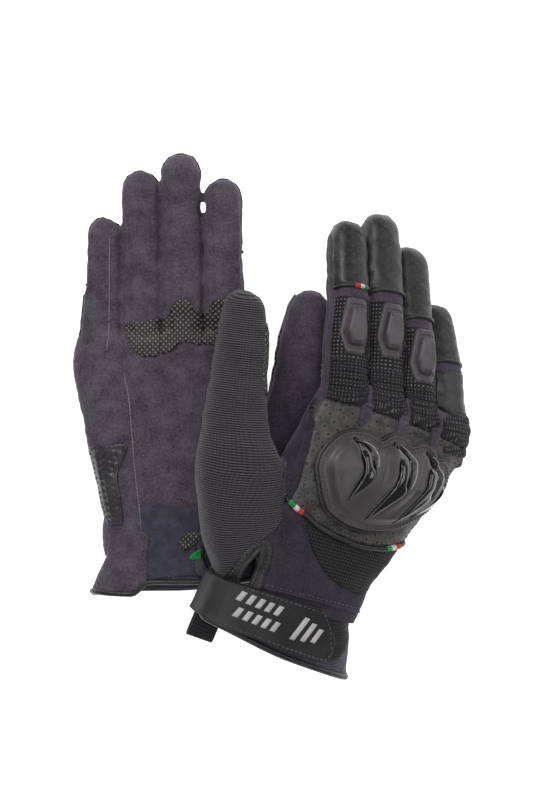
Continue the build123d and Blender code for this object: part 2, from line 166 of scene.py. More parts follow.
def inset_line(line, gap):
    """Closed line moved inwards by gap."""
    area = sum(a.x * b.y - b.x * a.y for a, b in zip(line, line[1:] + line[:1]))
    turn = 1 if area > 0 else -1
    moved = []
    for index, point in enumerate(line):
        along = line[(index + 1) % len(line)] - line[index - 1]
        along.normalize()
        moved.append(point + Vector((-along.y, along.x)) * gap * turn)
    return moved


def oval(left, right, low, high, angle, power):
    """Point of a rounded oval section at an angle, with its own height above and below."""
    c, s = cos(angle), sin(angle)
    x = (left + right) / 2 + (right - left) / 2 * (abs(c) ** (2 / power)) * (1 if c > 0 else -1)
    z = (high if s > 0 else -low) * abs(s) ** (2 / power)
    return x, z


# ---------------------------------------------------------------- one glove's frame
class Glove:
    def __init__(self, name):
        self.name = name
        self.lies = LIES[name]
        lies = self.lies
        turn = (Matrix.Rotation(-radians(lies["lean"]), 3, "Z")
                @ Matrix.Rotation(radians(lies["tilt"]), 3, "Y")
                @ Matrix.Rotation(radians(lies["pitch"]), 3, "X"))
        if lies["flipped"]:
            turn = turn @ Matrix.Rotation(pi, 3, "Y")
        self.frames = {}
        swing = radians(lies["finger_turn"])
        for order, (finger, (hinge, base, _, _, middle, _)) in enumerate(FINGERS.items()):
            centre = (base[0] + base[1]) / 2
            across = (centre - (hinge - 110.0) * sin(swing)) / cos(swing)
            root = (Matrix.Translation((across, hinge, 0)) @ Matrix.Rotation(swing, 4, "Z"))
            lower = root @ Matrix.Rotation(-radians(lies["bend"][order]), 4, "X")
            upper = (lower @ Matrix.Translation((0, middle, 0))
                     @ Matrix.Rotation(-radians(lies["curl"][order]), 4, "X")
                     @ Matrix.Translation((0, -middle, 0)))
            self.frames[finger] = (root, lower, upper)
        hinge = Vector(JOINTS[name + "_index_knuckle"]["pos_m"])
        spot = self.frames["index"][1] @ Vector((0, 0, 0)) * MM
        self.turn = turn
        self.place = (Matrix.Translation(hinge - turn @ spot) @ turn.to_4x4()
                      @ Matrix.Scale(MM, 4))
        x, y = lies["thumb"]
        x += lies["shift"] * (1 - y / WRIST_TO_KNUCKLE)
        self.thumb_frame = (Matrix.Translation((x, y, 0))
                            @ Matrix.Rotation(radians(lies["thumb_lean"]), 4, "Z")
                            @ Matrix.Rotation(-radians(lies["thumb_drop"]), 4, "X"))
        thumb_root = (Matrix.Translation((x, y, 0))
                      @ Matrix.Rotation(radians(lies["thumb_lean"]), 4, "Z"))
        self.thumb_root = thumb_root

    def body(self, part):
        return self.name + "_" + part

    def hand(self, x, y, z=0.0):
        """Pattern point of the hand or cuff, sheared and turned as this glove lies."""
        lies = self.lies
        x += lies["shift"] * min(max(1 - y / WRIST_TO_KNUCKLE, 0.0), 1.0)
        if y < 0:
            middle = WRIST_MIDDLE + lies["shift"]
            turn = -radians(lies["cuff_turn"]) * ease(-y, 0, 10)
            dx = x - middle
            x = middle + dx * cos(turn) - y * sin(turn)
            y = dx * sin(turn) * ease(-y, 0, 10) + y * cos(turn)
        return Vector((x, y, z))

    def finger(self, finger, x, s, z=0.0):
        """Point s along a finger from its knuckle hinge, bent as the glove lies."""
        root, lower, upper = self.frames[finger]
        middle = FINGERS[finger][4]
        point = Vector((x, s, z))
        first = (root @ point).lerp(lower @ point, ease(s, -8, 8))
        return first.lerp(upper @ point, ease(s, middle - 8, middle + 8))

    def thumb(self, x, s, z=0.0):
        point = Vector((x, s, z))
        return (self.thumb_root @ point).lerp(self.thumb_frame @ point, ease(s, -14, 12))

    def world(self, point):
        return self.place @ Vector(point)


# ---------------------------------------------------------------- making pieces
def new_piece(glove, name, mesh, material, smooth=True, recalculate=False):
    """Finished object from a bmesh in a glove's own millimetres."""
    if recalculate:
        bmesh.ops.recalc_face_normals(mesh, faces=mesh.faces)
    bmesh.ops.transform(mesh, matrix=glove.place, verts=mesh.verts)
    data = bpy.data.meshes.new(glove.body(name))
    for face in mesh.faces:
        face.smooth = smooth
    mesh.to_mesh(data)
    mesh.free()
    piece = bpy.data.objects.new(glove.body(name), data)
    bpy.context.scene.collection.objects.link(piece)
    piece.data.materials.append(material)
    return piece


def settle(glove, piece, body, *nodes):
    """Puts a finished piece on a body, in place of the nodes it stands for."""
    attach(piece, glove.body(body))
    if nodes:
        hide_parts(*(glove.body(node) for node in nodes))


def thicken(piece, thick, offset=-1.0, edge=0.0):
    """Gives a panel its thickness, measured in millimetres."""
    wall = piece.modifiers.new("thickness", "SOLIDIFY")
    wall.thickness = thick * MM
    wall.offset = offset
    wall.use_even_offset = False
    if edge:
        round_edge = piece.modifiers.new("edge", "BEVEL")
        round_edge.width = edge * MM
        round_edge.segments = 2
        round_edge.limit_method = "ANGLE"
        round_edge.angle_limit = radians(50)
        round_edge.profile = 0.5
    return piece


def soften(piece, levels=1):
    smoother = piece.modifiers.new("subdivide", "SUBSURF")
    smoother.levels = levels
    smoother.render_levels = levels
    return piece


def loft(stations, locate, around=40, power=2.5, swell=None, reach=1.0):
    """Closed form over stations (s, left, right, low, high), placed by locate(x, s, z)."""
    mesh = bmesh.new()
    ring = bmesh.ops.create_circle(mesh, segments=around, radius=1.0)["verts"]
    edges = mesh.edges[:]
    rings = [ring]
    for _ in stations[1:]:
        made = bmesh.ops.extrude_edge_only(mesh, edges=edges)["geom"]
        ring = [item for item in made if isinstance(item, bmesh.types.BMVert)]
        member = set(ring)
        edges = [item for item in made if isinstance(item, bmesh.types.BMEdge)
                 and item.verts[0] in member and item.verts[1] in member]
        rings.append(ring)
    for ring, (s, left, right, low, high) in zip(rings, stations):
        for vert in ring:
            angle = atan2(vert.co.y, vert.co.x)
            grow = 1 + (swell(s, angle) if swell else 0.0)
            x, z = oval(left, right, low, high, angle, power)
            middle = (left + right) / 2
            vert.co = locate(middle + (x - middle) * grow, s * reach, z * grow)
    bmesh.ops.holes_fill(mesh, edges=mesh.edges, sides=0)
    bmesh.ops.recalc_face_normals(mesh, faces=mesh.faces)
    return mesh


def tip_rows(rows, tip, dome):
    """Adds rows that close a stall in a round end."""
    closed = [row for row in rows if row[0] < tip - dome]
    for part in range(7):
        angle = pi / 2 * part / 6.6
        s = tip - dome + dome * sin(angle)
        left, right, low, high = read(rows, s)
        share = cos(angle) ** 0.8
        middle, half = (left + right) / 2, (right - left) / 2 * share
        closed.append((s, middle - half, middle + half, low * share, high * share))
    return closed


# ---------------------------------------------------------------- materials
def linear(code):
    """sRGB hex to a linear colour."""
    parts = [int(code[place:place + 2], 16) / 255 for place in (1, 3, 5)]
    return tuple(p / 12.92 if p <= 0.04045 else ((p + 0.055) / 1.055) ** 2.4
                 for p in parts) + (1.0,)


def node(tree, kind, links=None, **settings):
    """Adds a node; settings are its sockets by name or its own properties."""
    made = tree.nodes.new(kind)
    for key, value in settings.items():
        if hasattr(made, key):
            setattr(made, key, value)
    for key, value in settings.items():
        if not hasattr(made, key):
            made.inputs[key.replace("_", " ")].default_value = value
    for key, source in (links or {}).items():
        tree.links.new(source, made.inputs[key])
    return made


def finish_of(name, colour, roughness, **shader):
    """New material with its shader and output; returns it, its tree and the shader."""
    material = bpy.data.materials.new(name)
    material.use_nodes = True
    tree = material.node_tree
    tree.nodes.clear()
    surface = node(tree, "ShaderNodeBsdfPrincipled")
    surface.inputs["Base Color"].default_value = linear(colour)
    surface.inputs["Roughness"].default_value = roughness
    for key, value in shader.items():
        surface.inputs[key.replace("_", " ")].default_value = value
    node(tree, "ShaderNodeOutputMaterial", {"Surface": surface.outputs[0]})
    return material, tree, surface


def ramp(tree, source, low, high, dark, light):
    """Colour that goes from dark to light as source goes from low to high."""
    made = node(tree, "ShaderNodeValToRGB", {"Fac": source})
    made.color_ramp.elements[0].position = low
    made.color_ramp.elements[1].position = high
    made.color_ramp.elements[0].color = linear(dark)
    made.color_ramp.elements[1].color = linear(light)
    return made.outputs["Color"]


def grain(tree, millimetres, detail=3.0, roughness=0.55, where="Object"):
    """Noise whose lumps are about this many millimetres across."""
    spot = node(tree, "ShaderNodeTexCoord").outputs[where]
    return node(tree, "ShaderNodeTexNoise", {"Vector": spot}, Scale=1000 / millimetres,
                Detail=detail, Roughness=roughness).outputs["Fac"]


def relief(tree, surface, heights, distance=0.3):
    """Adds the (height, strength) layers as bumps, each on top of the last."""
    normal = None
    for height, strength in heights:
        links = {"Height": height}
        if normal:
            links["Normal"] = normal
        normal = node(tree, "ShaderNodeBump", links, Strength=strength,
                      Distance=distance * MM).outputs["Normal"]
    tree.links.new(normal, surface.inputs["Normal"])


def maths(tree, operation, first, second):
    made = node(tree, "ShaderNodeMath", operation=operation)
    for place, value in enumerate((first, second)):
        if isinstance(value, (int, float)):
            made.inputs[place].default_value = value
        else:
            tree.links.new(value, made.inputs[place])
    return made.outputs[0]


def weighed(tree, *parts):
    """Sum of (pattern, weight) parts."""
    total = None
    for pattern, weight in parts:
        share = maths(tree, "MULTIPLY", pattern, weight)
        total = share if total is None else maths(tree, "ADD", total, share)
    return total


def bands(tree, spot, direction, millimetres, distortion=0.5):
    """Even dark and light bands this many millimetres apart."""
    return node(tree, "ShaderNodeTexWave", {"Vector": spot}, wave_type="BANDS",
                bands_direction=direction, Scale=WAVE_PERIOD / (millimetres * MM),
                Distortion=distortion, Detail=1.0, Detail_Scale=2.0).outputs["Fac"]


def suede(name, dark, light):
    """Brushed microfibre suede: short nap, so it is matt, mottled and pale at a low angle."""
    material, tree, surface = finish_of(name, dark, 0.92, Sheen_Weight=0.35,
                                        Sheen_Roughness=0.45, Specular_IOR_Level=0.25)
    surface.inputs["Sheen Tint"].default_value = linear("#b9b0c0")
    cloud = grain(tree, 9.0, 4.0)
    nap = grain(tree, 1.1, 3.0, 0.75)
    both = weighed(tree, (cloud, 0.4), (nap, 0.6))
    tree.links.new(ramp(tree, both, 0.36, 0.64, dark, light), surface.inputs["Base Color"])
    relief(tree, surface, ((nap, 0.35), (cloud, 0.12)), 0.5)
    return material


def leather(name, dark, light, pitch=5.0, hole=0.6, gloss=0.42):
    """Goat leather, drum dyed and lightly waxed: fine grain, creases, and rows of punched holes,
    painted near-black inside as painted shade, each with a paler ring as a painted highlight.
    """
    material, tree, surface = finish_of(name, dark, gloss, Coat_Weight=0.12, Coat_Roughness=0.3)
    spot = node(tree, "ShaderNodeTexCoord")
    cells = node(tree, "ShaderNodeTexVoronoi", {"Vector": spot.outputs["Object"]},
                 Scale=1000 / 1.1, feature="DISTANCE_TO_EDGE").outputs["Distance"]
    folds = grain(tree, 4.5, 4.0, 0.6)
    smear = grain(tree, 16.0, 3.0)
    worn = weighed(tree, (folds, 0.55), (smear, 0.45))
    colour = ramp(tree, worn, 0.40, 0.66, dark, light)
    heights = [(folds, 0.45), (cells, 0.3)]
    rough = node(tree, "ShaderNodeMapRange", {"Value": smear}, From_Min=0.3, From_Max=0.7,
                 To_Min=gloss - 0.1, To_Max=gloss + 0.14)
    tree.links.new(rough.outputs["Result"], surface.inputs["Roughness"])
    if pitch:
        turned = node(tree, "ShaderNodeMapping", {"Vector": spot.outputs["UV"]})
        turned.inputs["Rotation"].default_value = (0, 0, radians(45))
        dots = node(tree, "ShaderNodeTexVoronoi", {"Vector": turned.outputs[0]},
                    voronoi_dimensions="2D", Scale=1000 / pitch, Randomness=0.0)
        away = dots.outputs["Distance"]
        punched = node(tree, "ShaderNodeMapRange", {"Value": away}, interpolation_type="SMOOTHSTEP",
                       From_Min=hole * 0.75 / pitch, From_Max=hole * 1.15 / pitch)
        # A paler ring round each hole, #6f6a68 mixed in at 0.22: painted highlight on the hole
        # rims.
        lip = node(tree, "ShaderNodeMapRange", {"Value": away}, interpolation_type="SMOOTHSTEP",
                   From_Min=hole * 2.1 / pitch, From_Max=hole * 1.2 / pitch)
        rim_highlight = node(tree, "ShaderNodeMix", {"Factor": maths(tree, "MULTIPLY",
                       lip.outputs["Result"], 0.22)}, data_type="RGBA")
        tree.links.new(colour, rim_highlight.inputs[6])
        rim_highlight.inputs[7].default_value = linear("#6f6a68")
        # Each hole painted near-black, #020202: painted shade inside the punched hole.
        mixed = node(tree, "ShaderNodeMix", data_type="RGBA")
        tree.links.new(punched.outputs["Result"], mixed.inputs[0])
        mixed.inputs[6].default_value = linear("#020202")
        tree.links.new(rim_highlight.outputs[2], mixed.inputs[7])
        colour = mixed.outputs[2]
        heights.append((punched.outputs["Result"], 0.8))
    tree.links.new(colour, surface.inputs["Base Color"])
    relief(tree, surface, heights, 0.5)
    return material


def rib_knit(name, dark, light, rib=1.5):
    """Nylon rib knit: rows of raised loops, darkened in the gaps between them as painted shade, and
    a slight yarn sheen.
    """
    material, tree, surface = finish_of(name, dark, 0.78, Sheen_Weight=0.2, Sheen_Roughness=0.5,
                                        Specular_IOR_Level=0.35)
    spot = node(tree, "ShaderNodeTexCoord").outputs["UV"]
    rows = bands(tree, spot, "Y", rib, 0.6)
    loops = bands(tree, spot, "X", 1.3, 1.0)
    fuzz = grain(tree, 1.2, 2.0)
    both = weighed(tree, (rows, 0.6), (loops, 0.15), (fuzz, 0.3))
    # Colour follows the rib bump, darkest in the low gaps: painted shade, with random fuzz.
    tree.links.new(ramp(tree, both, 0.34, 0.76, dark, light), surface.inputs["Base Color"])
    relief(tree, surface, ((both, 0.9),), 0.5)
    return material


def open_mesh(name, dark, light, pitch=1.5):
    """Warp-knit spacer mesh: a square net of pale fibres, darkened in the low holes between them as
    painted shade.
    """
    material, tree, surface = finish_of(name, dark, 0.75, Specular_IOR_Level=0.4)
    spot = node(tree, "ShaderNodeTexCoord").outputs["UV"]
    across = bands(tree, spot, "X", pitch)
    along = bands(tree, spot, "Y", pitch)
    net = maths(tree, "MULTIPLY", across, along)
    fibre = grain(tree, 1.4, 3.0, 0.7)
    speck = maths(tree, "MULTIPLY", net, maths(tree, "MULTIPLY", fibre, 1.7))
    # Colour darkens where the net's bump is low: painted shade in the holes.
    tree.links.new(ramp(tree, speck, 0.32, 0.8, dark, light), surface.inputs["Base Color"])
    relief(tree, surface, ((net, 0.9),), 0.5)
    return material


def moulded(name, colour, roughness, worn="#575257", grain_mm=0.7, coat=0.0):
    """Injection-moulded rubber or plastic: even colour, a fine spark-eroded grain, soft wear."""
    material, tree, surface = finish_of(name, colour, roughness, Coat_Weight=coat,
                                        Coat_Roughness=0.12)
    scuff = grain(tree, 14.0, 5.0, 0.65)
    fine = grain(tree, grain_mm, 2.0)
    tree.links.new(ramp(tree, scuff, 0.45, 0.85, colour, worn), surface.inputs["Base Color"])
    rough = node(tree, "ShaderNodeMapRange", {"Value": scuff}, From_Min=0.3, From_Max=0.75,
                 To_Min=roughness - 0.05, To_Max=roughness + 0.1)
    tree.links.new(rough.outputs["Result"], surface.inputs["Roughness"])
    relief(tree, surface, ((fine, 0.12), (scuff, 0.05)), 0.3)
    return material


def dotted_grip(name, colour, pitch=1.7):
    """Silicone printed on suede in a honeycomb of raised, shiny dots."""
    material, tree, surface = finish_of(name, colour, 0.5, Coat_Weight=0.1,
                                        Coat_Roughness=0.3)
    spot = node(tree, "ShaderNodeTexCoord").outputs["UV"]
    turned = node(tree, "ShaderNodeMapping", {"Vector": spot})
    turned.inputs["Rotation"].default_value = (0, 0, radians(45))
    cells = node(tree, "ShaderNodeTexVoronoi", {"Vector": turned.outputs[0]},
                 voronoi_dimensions="2D", Scale=1000 / pitch, Randomness=0.12)
    dome = node(tree, "ShaderNodeMapRange", {"Value": cells.outputs["Distance"]},
                interpolation_type="SMOOTHSTEP", From_Min=0.52, From_Max=0.18)
    tree.links.new(ramp(tree, dome.outputs["Result"], 0.1, 0.9, "#17161a", colour),
                   surface.inputs["Base Color"])
    relief(tree, surface, ((dome.outputs["Result"], 1.0),), 0.6)
    return material


def plain_cloth(name, dark, light, roughness=0.85, weave=0.8):
    """Tight woven or knitted synthetic, such as neoprene facing, webbing or edge tape."""
    material, tree, surface = finish_of(name, dark, roughness, Sheen_Weight=0.15,
                                        Specular_IOR_Level=0.35)
    spot = node(tree, "ShaderNodeTexCoord").outputs["Object"]
    warp = bands(tree, spot, "DIAGONAL", weave, 1.5)
    cloud = grain(tree, 7.0, 3.0)
    both = weighed(tree, (warp, 0.35), (cloud, 0.65))
    tree.links.new(ramp(tree, both, 0.3, 0.75, dark, light), surface.inputs["Base Color"])
    relief(tree, surface, ((warp, 0.3), (cloud, 0.15)), 0.4)
    return material


SUEDE = suede("microfibre suede, black plum", "#383239", "#635c66")
# The plum suede made darker: painted shade for the front glove's back of hand, which lies turned
# from the lights; the wrist seam cords use it too.
SUEDE_SHADED = suede("microfibre suede, darkened as painted shade", "#221e25", "#3d3841")
SUEDE_SIDE = suede("microfibre suede, finger sides", "#302b32", "#564f59")
LEATHER = leather("goat leather, punched", "#151414", "#4d4946", 5.0, 0.8, 0.48)
TIP_LEATHER = leather("goat leather, finger punched", "#100f10", "#2b2928", 3.4, 0.42, 0.45)
PLAIN_LEATHER = leather("goat leather, plain", "#151314", "#302c2c", 0, 0, 0.42)
BINDING = leather("binding leather", "#121113", "#2c292b", 0, 0, 0.46)
KNIT = rib_knit("nylon rib knit", "#060506", "#4c474e", 1.2)
MESH = open_mesh("spacer mesh", "#0b0b0c", "#6e6b70", 1.9)
WRIST_MESH = open_mesh("wrist mesh", "#08080a", "#3d3b3e", 1.7)
ACCORDION = open_mesh("stretch panel", "#121114", "#5c575e", 1.6)
SHELL = moulded("moulded polyurethane shell", "#3a3638", 0.45, "#4e494b", 0.7, 0.05)
ARMOUR = moulded("moulded polyurethane armour", "#413c40", 0.44, "#615b60", 0.7)
VENT = moulded("gloss nylon vent", "#040404", 0.16, "#0a0a0a", 1.5, 0.5)
# Pale grey for the tube along one side of each vent mouth: a painted highlight on the lip.
VENT_LIP_HIGHLIGHT = moulded("vent lip, painted highlight", "#8d888a", 0.2, "#a5a0a2", 1.0, 0.4)
RUBBER = moulded("extruded rubber piping", "#1b1a1b", 0.4, "#343234", 0.9)
STRAP_RUBBER = moulded("rubber-faced strap", "#161517", 0.5, "#2b292c", 0.6)
GRIP = dotted_grip("printed silicone grip", "#6b6663", 2.1)
GRIP_PLAIN = moulded("embossed silicone slider", "#2f2c30", 0.36, "#4b474c", 0.8, 0.2)
NEOPRENE = plain_cloth("neoprene, blue black", "#2b2935", "#4e4b59", 0.82, 0.8)
WEBBING = plain_cloth("nylon webbing", "#121214", "#26252a", 0.8, 1.2)
THREAD = plain_cloth("bonded nylon thread", "#403b43", "#6c646f", 0.6, 0.5)
EDGE = plain_cloth("raw suede edge", "#6a646f", "#938c97", 0.95, 0.9)
HOOKS = plain_cloth("hook and loop tape", "#0d0d0e", "#222124", 0.95, 0.7)
GREEN = plain_cloth("woven label, green", "#11753a", "#1f9c50", 0.8, 0.6)
WHITE = plain_cloth("woven label, white", "#b9b6b0", "#dedbd5", 0.8, 0.6)
PRINT = plain_cloth("strap print, pale grey", "#a8a5a6", "#c9c6c6", 0.6, 0.6)
RED = plain_cloth("woven label, red", "#b01c18", "#d8302a", 0.8, 0.6)


# ---------------------------------------------------------------- the fabric skin
HAND_ROWS = [  # y, thumb side, little side, palm depth, back height
    (-17, -38.5, 41.0, 15.3, 15.3), (-7, -38.5, 43.5, 15.9, 16.2),
    (1, -38.0, 44.6, 16.2, 16.6), (12, -36.0, 43.5, 15.5, 16.3),
    (30, -36.0, 47.5, 15.5, 16.3),
    (50, -36.0, 52.0, 15.0, 16.0), (70, -36.0, 56.5, 14.5, 15.5), (90, -35.5, 60.0, 14.0, 14.6),
    (104, -35.0, 60.5, 13.0, 13.2), (112, -33.0, 58.0, 11.5, 11.5), (117, -31.0, 54.0, 8.0, 8.5),
]
THUMB_ROWS = [  # s, index side, far side given left to right, palm depth, back height
    (-67, -2.0, 27.0, 13.5, 13.8), (-58, -9.5, 27.0, 14.0, 14.5), (-48, -15.0, 27.0, 14.5, 15.0),
    (-30, -20.5, 26.0, 14.0, 15.0),
    (-12, -24.5, 23.0, 13.5, 14.5), (0, -24.5, 19.0, 12.5, 13.5), (12, -23.0, 12.5, 11.8, 12.5),
    (26, -20.5, 10.5, 11.5, 12.0), (45, -18.0, 10.5, 11.0, 11.5), (62, -16.0, 10.0, 10.5, 11.0),
    (78, -13.5, 8.0, 9.5, 10.0), (90, -11.0, 6.0, 8.5, 9.0),
]
THUMB_TIP = 86.0
THUMB_TABLE = tip_rows([(s,) + tuple(read(THUMB_ROWS, s)) for s in range(-67, 78, 3)],
                       THUMB_TIP, 12.0)


CLOTH_SLACK = 0.15


def finger_rows(finger):
    """Sections of a straight finger, from behind its knuckle to its round end."""
    _, base, tip, thick, _, length = FINGERS[finger]
    centre = (base[0] + base[1]) / 2
    rows = []
    for s in range(-16, int(length) + 8, 2):
        share = max(s, 0) / length
        left = base[0] + (tip[0] - base[0]) * share - centre
        right = base[1] + (tip[1] - base[1]) * share - centre
        half = thick / 2 - 1.2 * share
        rows.append((s, left - CLOTH_SLACK, right + CLOTH_SLACK, half, half))
    return tip_rows(rows, length + 1.0, 10.5)


FINGER_ROWS = {finger: finger_rows(finger) for finger in FINGERS}


def finger_point(glove, finger, s, angle, shrink=1.0, past=0.0):
    """Point of a finger's section at length s and an angle in degrees."""
    x, z = oval(*read(FINGER_ROWS[finger], s), radians(angle), FINGER_PANEL_SQUARE)
    return glove.finger(finger, x * shrink, (s + past) * glove.lies["longer"], z * shrink)


def finger_swell(glove, finger):
    """Creases on the palm side at the joints and slack cloth on the back, as shares of girth."""
    middle, length = FINGERS[finger][4:]
    straight = 1.0 if glove.lies["flipped"] else 0.6

    def swell(s, angle):
        palm = max(-sin(angle), 0.0)
        side = 1 - abs(sin(angle)) * 0.5
        crease = 0.0
        for place, deep, wide in ((2, 0.07, 3.5), (middle - 5, 0.08, 2.6), (middle + 3, 0.09, 2.8),
                                  (middle * 1.5 + 2, 0.05, 2.6), (length - 16, 0.03, 4.0)):
            lean = place + 2.5 * cos(angle)
            crease -= deep * bump(s, lean, wide) * (0.25 + 0.75 * palm) * straight
        slack = 0.03 * sin(s * 0.55 + 3 * cos(angle)) * side * ease(s, 4, 20)
        return crease + slack * 0.6 + 0.02

    return swell


def thumb_swell(s, angle):
    palm = max(-sin(angle), 0.0)
    crease = -0.05 * bump(s, 40 + 3 * cos(angle), 3.0) * (0.2 + 0.8 * palm)
    crease -= 0.04 * bump(s, 8 + 4 * cos(angle), 3.5) * (0.3 + 0.7 * palm)
    return crease + 0.012 * sin(s * 0.5 + 2 * cos(angle))


def fabric_skin(glove):
    """One continuous skin over hand, fingers and thumb, remeshed from their lofted forms."""
    forms = []
    hand_rows = [(y,) + tuple(read(HAND_ROWS, y)) for y in range(-17, 118, 5)]
    forms.append(loft(hand_rows, glove.hand, 56, HAND_SQUARE))
    for finger in FINGERS:
        forms.append(loft(FINGER_ROWS[finger],
                          lambda x, s, z, f=finger: glove.finger(f, x, s, z), 36, FINGER_SQUARE,
                          finger_swell(glove, finger), glove.lies["longer"]))
    forms.append(loft(THUMB_TABLE, glove.thumb, 40, THUMB_SQUARE, thumb_swell))
    whole = bmesh.new()
    for form in forms:
        data = bpy.data.meshes.new("form")
        form.to_mesh(data)
        form.free()
        whole.from_mesh(data)
        bpy.data.meshes.remove(data)
    data = bpy.data.meshes.new("skin form")
    whole.to_mesh(data)
    whole.free()
    holder = bpy.data.objects.new("skin form", data)
    bpy.context.scene.collection.objects.link(holder)
    remesh = holder.modifiers.new("voxels", "REMESH")
    remesh.mode = "VOXEL"
    remesh.voxel_size = VOXEL
    bpy.context.view_layer.update()
    evaluated = holder.evaluated_get(bpy.context.evaluated_depsgraph_get())
    remeshed = bpy.data.meshes.new_from_object(evaluated)
    bpy.data.objects.remove(holder)
    skin = bmesh.new()
    skin.from_mesh(remeshed)
    bpy.data.meshes.remove(remeshed)
    for _ in range(4):
        bmesh.ops.smooth_vert(skin, verts=skin.verts, factor=0.5, use_axis_x=True,
                              use_axis_y=True, use_axis_z=True)
    return skin


def wrinkle(glove, skin):
    """Slack and creases, as moves along the normal; the seams are pressed in by press_seams."""
    skin.normal_update()
    moves = []
    seed = Vector((3.1, 7.7, 1.3)) if glove.lies["flipped"] else Vector((11.2, 4.1, 8.9))
    for vert in skin.verts:
        co = vert.co
        slack = noise.noise(Vector((co.x * 0.055, co.y * 0.075, co.z * 0.055)) + seed)
        ripple = noise.noise(Vector((co.x * 0.10, co.y * 0.26, co.z * 0.10)) + seed * 2)
        fine = noise.noise(co * 0.45 + seed)
        moves.append(slack * 0.9 + ripple * 0.4 + fine * 0.14)
    for vert, move in zip(skin.verts, moves):
        vert.co += vert.normal * move
    skin.normal_update()


def press_seams(skin, lines, deep=0.7, wide=1.3):
    """Presses a sewn line into the skin and lifts the cloth on each side of it."""
    tree = tree_of([point for line in lines for point in line])
    for vert in skin.verts:
        _, _, away = tree.find(vert.co)
        if away < wide * 4:
            vert.co += vert.normal * (0.35 * bump(away, wide * 2.3, wide * 1.2)
                                      - deep * bump(away, 0, wide))
    skin.normal_update()


# ---------------------------------------------------------------- laying things on the skin
class Surface:
    """The finished skin of one glove, to find and follow."""

    def __init__(self, skin):
        self.tree = BVHTree.FromBMesh(skin)

    def above(self, point, side):
        """Skin under a point, seen from the back (1) or the palm (-1)."""
        start = Vector((point[0], point[1], 70.0 * side))
        spot, normal, _, _ = self.tree.ray_cast(start, Vector((0, 0, -side)))
        if spot is None:
            return self.near((point[0], point[1], 0.0))
        return spot, normal

    def near(self, point):
        spot, normal, _, _ = self.tree.find_nearest(Vector(point))
        return spot, normal


def trace(glove, surface, points, side, step=1.5, closed=False, locate=None):
    """Smooth (place, normal) line over the skin through pattern points."""
    locate = locate or glove.hand
    line = rounded_line(points, step, closed)
    spots = []
    for point in line:
        spots.append(surface.above(locate(point.x, point.y, 0.0), side))
    count = len(spots)
    smooth = []
    for index in range(count):
        around = [index - 1, index, index + 1]
        if closed:
            around = [k % count for k in around]
        else:
            around = [min(max(k, 0), count - 1) for k in around]
        place = sum((spots[k][0] for k in around), Vector()) / 3
        normal = sum((spots[k][1] for k in around), Vector()).normalized()
        smooth.append((place, normal))
    return smooth


def tube(glove, name, line, radius, material, lift=0.0, closed=False, around=2):
    """Round cord along a traced line."""
    curve = bpy.data.curves.new(name, "CURVE")
    curve.dimensions = "3D"
    curve.bevel_depth = radius
    curve.bevel_resolution = around
    curve.use_fill_caps = True
    spline = curve.splines.new("POLY")
    spline.points.add(len(line) - 1)
    for point, (place, normal) in zip(spline.points, line):
        point.co = (*(place + normal * lift), 1.0)
    spline.use_cyclic_u = closed
    holder = bpy.data.objects.new(name, curve)
    bpy.context.scene.collection.objects.link(holder)
    bpy.context.view_layer.update()
    data = bpy.data.meshes.new_from_object(holder.evaluated_get(
        bpy.context.evaluated_depsgraph_get()))
    bpy.data.objects.remove(holder)
    mesh = bmesh.new()
    mesh.from_mesh(data)
    bpy.data.meshes.remove(data)
    bmesh.ops.remove_doubles(mesh, verts=mesh.verts, dist=0.001)
    return new_piece(glove, name, mesh, material, recalculate=True)


def stitches(glove, name, lines, material, pitch=2.9, long=2.0, thick=0.28, lift=0.12):
    """Lockstitch: short threads that dip into the cloth at both ends."""
    mesh = bmesh.new()
    for line in lines:
        run = 0.0
        due = pitch / 2
        for (a, na), (b, nb) in zip(line, line[1:]):
            length = (b - a).length
            while run + length >= due and length > 0:
                share = (due - run) / length
                place = a.lerp(b, share)
                normal = na.lerp(nb, share).normalized()
                along = (b - a).normalized()
                across = along.cross(normal).normalized()
                up = across.cross(along)
                turn = Matrix((across, along, up)).transposed().to_4x4()
                bmesh.ops.create_uvsphere(
                    mesh, u_segments=6, v_segments=5, radius=1.0,
                    matrix=Matrix.Translation(place + normal * lift) @ turn
                    @ Matrix.Diagonal((thick, long / 2, thick, 1.0)))
                due += pitch
            run += length
    return new_piece(glove, name, mesh, material)


